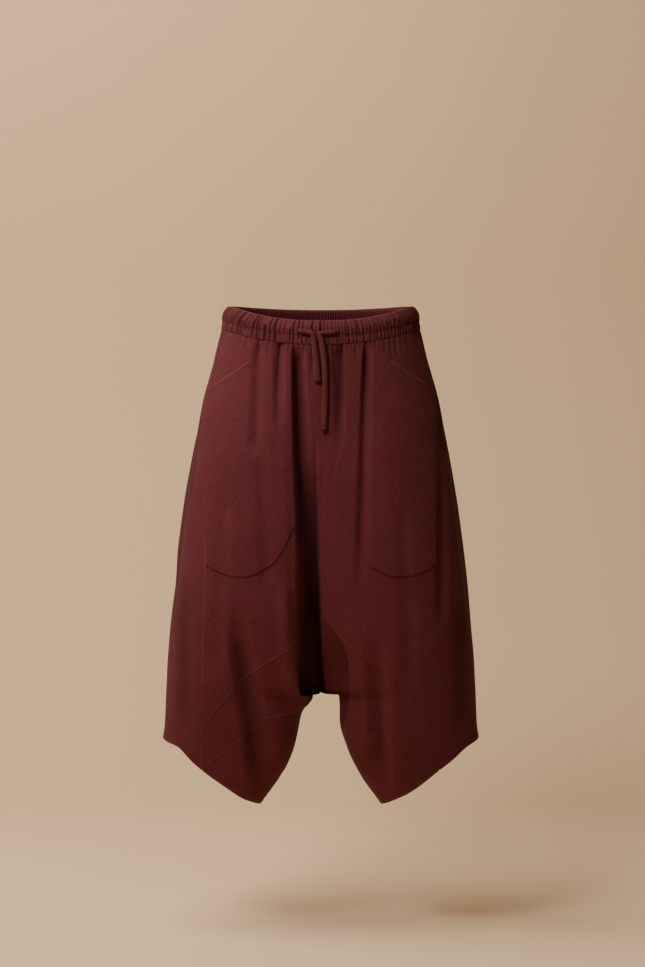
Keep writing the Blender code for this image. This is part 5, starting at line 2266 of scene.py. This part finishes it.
def smooth_path(points: Array, count: int) -> Array:
    """Return points along a smooth line through the given ones.

    Args:
        points: Places to pass.
        count: Number of steps.

    Returns:
        The line's points.
    """
    lengths = lengths_along(points)
    places = np.linspace(0.0, lengths[-1], count + 1)
    slopes = np.gradient(points, lengths, axis=0)
    k = np.clip(np.searchsorted(lengths, places, side="right") - 1, 0, len(points) - 2)
    step = lengths[k + 1] - lengths[k]
    u = (places - lengths[k]) / step
    return bend_between(k, u[:, None], step[:, None], points, slopes)


# Studio

@dataclass(frozen=True)
class PaperFinish:
    """The warm, slightly uneven paper of the floor and wall, with the floor painted paler as painted light.
    """

    name: str = "Warm studio paper"
    plain: Colour = (0.640, 0.443, 0.256, 1.0)
    cloudy: Colour = (0.690, 0.484, 0.284, 1.0)
    # Painted light: the floor colour is paler than the wall's, standing in for brighter light on the floor.
    floor: Colour = (0.745, 0.545, 0.345, 1.0)
    cloud_scale: float = 0.9
    cloud_detail: float = 3.0
    floor_blend: float = 0.07
    roughness: float = 0.92
    specular: float = 0.15

    def build(self, floor_z: float) -> Material:
        """Make the material.

        Args:
            floor_z: The floor's height.

        Returns:
            The material.
        """
        material = bpy.data.materials.new(self.name)
        material.use_nodes = True
        desk = NodeDesk(material.node_tree)
        shader = material.node_tree.nodes["Principled BSDF"]
        place = desk.add("ShaderNodeTexCoord").outputs["Object"]
        cloud = desk.noise(place, self.cloud_scale, self.cloud_detail)
        colour = desk.blend(self.plain, self.cloudy, cloud)
        # Painted light: near the floor the paper turns to the paler floor colour.
        height = desk.add("ShaderNodeSeparateXYZ", {0: place}).outputs["Z"]
        inputs = {"From Min": floor_z + self.floor_blend, "From Max": floor_z, "Value": height}
        colour = desk.blend(colour, self.floor, desk.add("ShaderNodeMapRange", inputs).outputs[0])
        desk.join(colour, shader.inputs["Base Color"])
        shader.inputs["Roughness"].default_value = self.roughness
        shader.inputs["Specular IOR Level"].default_value = self.specular
        # The paper shows from its front only, so that the garment can be looked at from behind too.
        behind = desk.add("ShaderNodeNewGeometry").outputs["Backfacing"]
        clear = desk.add("ShaderNodeBsdfTransparent").outputs[0]
        mix = desk.add("ShaderNodeMixShader", {0: behind, 1: shader.outputs[0], 2: clear})
        desk.join(mix.outputs[0], material.node_tree.nodes["Material Output"].inputs["Surface"])
        return material


@dataclass(frozen=True)
class Lamp:
    """A soft, rectangular light."""

    name: str
    place: Point
    aim: Point
    size: Pair
    power: float
    colour: Point

    def build(self) -> None:
        """Add the light."""
        lamp = bpy.data.lights.new(self.name, "AREA")
        lamp.shape = "RECTANGLE"
        lamp.size, lamp.size_y = self.size
        lamp.energy = self.power
        lamp.color = self.colour
        thing = link(bpy.data.objects.new(self.name, lamp))
        thing.location = self.place
        way = Vector(self.aim) - Vector(self.place)
        thing.rotation_euler = way.to_track_quat("-Z", "Y").to_euler()


# The key comes from the upper left. The fill is weak, and the last one lights the wall.
LAMPS = (
    Lamp("Key", (-0.98, -1.74, 1.42), (0.0, 0.0, -0.30), (0.78, 0.78), 37.0, (1.0, 0.950, 0.89)),
    Lamp("Fill", (2.4, -3.2, 0.6), (0.0, 0.0, -0.40), (2.4, 2.0), 2.2, (1.0, 0.95, 0.90)),
    Lamp("Top", (-0.80, -0.32, 2.1), (0.0, 0.0, -0.60), (1.5, 1.5), 15.0, (1.0, 0.95, 0.89)),
    Lamp("Wall_light", (-1.25, -0.25, 1.8), (0.15, 1.7, -0.62), (2.4, 2.4), 86.0, (1.0, 0.95, 0.89)),
)


@dataclass
class Studio:
    """The plain pale floor and wall, the soft lights and the camera."""

    camera_place: Point = (0.0027, -3.683, -0.2847)
    lens: float = 85.0
    film_height: float = 36.0
    far_end: float = 60.0
    floor_z: float = -1.0
    floor_front: float = -7.0
    wall_y: float = 1.75
    wall_top: float = 6.0
    sweep_radius: float = 1.25
    sweep_steps: int = 32
    half_width: float = 6.0
    air_colour: Colour = (1.0, 0.93, 0.86, 1.0)
    air_strength: float = 0.085
    paper: PaperFinish = PaperFinish()

    def build(self) -> None:
        """Make the studio."""
        self._sweep()
        for lamp in LAMPS:
            lamp.build()
        world = bpy.data.worlds.new("Studio")
        world.use_nodes = True
        world.node_tree.nodes["Background"].inputs[0].default_value = self.air_colour
        world.node_tree.nodes["Background"].inputs[1].default_value = self.air_strength
        bpy.context.scene.world = world
        self._camera()

    def _sweep(self) -> None:
        """Make the floor, curving up into the wall behind."""
        middle_y = self.wall_y - self.sweep_radius
        profile = [(self.floor_front, self.floor_z), (middle_y, self.floor_z)]
        for k in range(1, self.sweep_steps + 1):
            angle = math.pi / 2.0 * k / self.sweep_steps
            rise = self.sweep_radius * (1.0 - math.cos(angle))
            profile.append((middle_y + self.sweep_radius * math.sin(angle), self.floor_z + rise))
        profile.append((self.wall_y, self.wall_top))
        verts = [(x, y, z) for y, z in profile for x in (-self.half_width, self.half_width)]
        faces = [(2 * k, 2 * k + 1, 2 * k + 3, 2 * k + 2) for k in range(len(profile) - 1)]
        data = bpy.data.meshes.new("Studio_sweep")
        data.from_pydata(verts, [], faces)
        new_object("Studio_sweep", data, self.paper.build(self.floor_z))

    def _camera(self) -> None:
        """Add the camera, level and straight on."""
        data = bpy.data.cameras.new("Camera")
        data.lens = self.lens
        data.sensor_fit = "VERTICAL"
        data.sensor_height = self.film_height
        data.clip_end = self.far_end
        camera = link(bpy.data.objects.new("Camera", data))
        camera.location = self.camera_place
        camera.rotation_euler = (math.pi / 2.0, 0.0, 0.0)
        bpy.context.scene.camera = camera


def main() -> None:
    """Build everything in order."""
    Studio().build()
    LOG.info("studio made")
    wardrobe = Wardrobe()
    form = PantsForm()
    waistband = Waistband(wardrobe)
    waistband.build()
    panels = LegPanels(form, wardrobe)
    panels.build()
    Pockets(form, wardrobe).build()
    ground = Ground([waistband.thing, panels.things["front_right"], panels.things["front_left"]])
    Drawstring(wardrobe, ground).build()


if __name__ == "__main__":
    logging.basicConfig(level=logging.INFO, format="%(message)s")
    main()
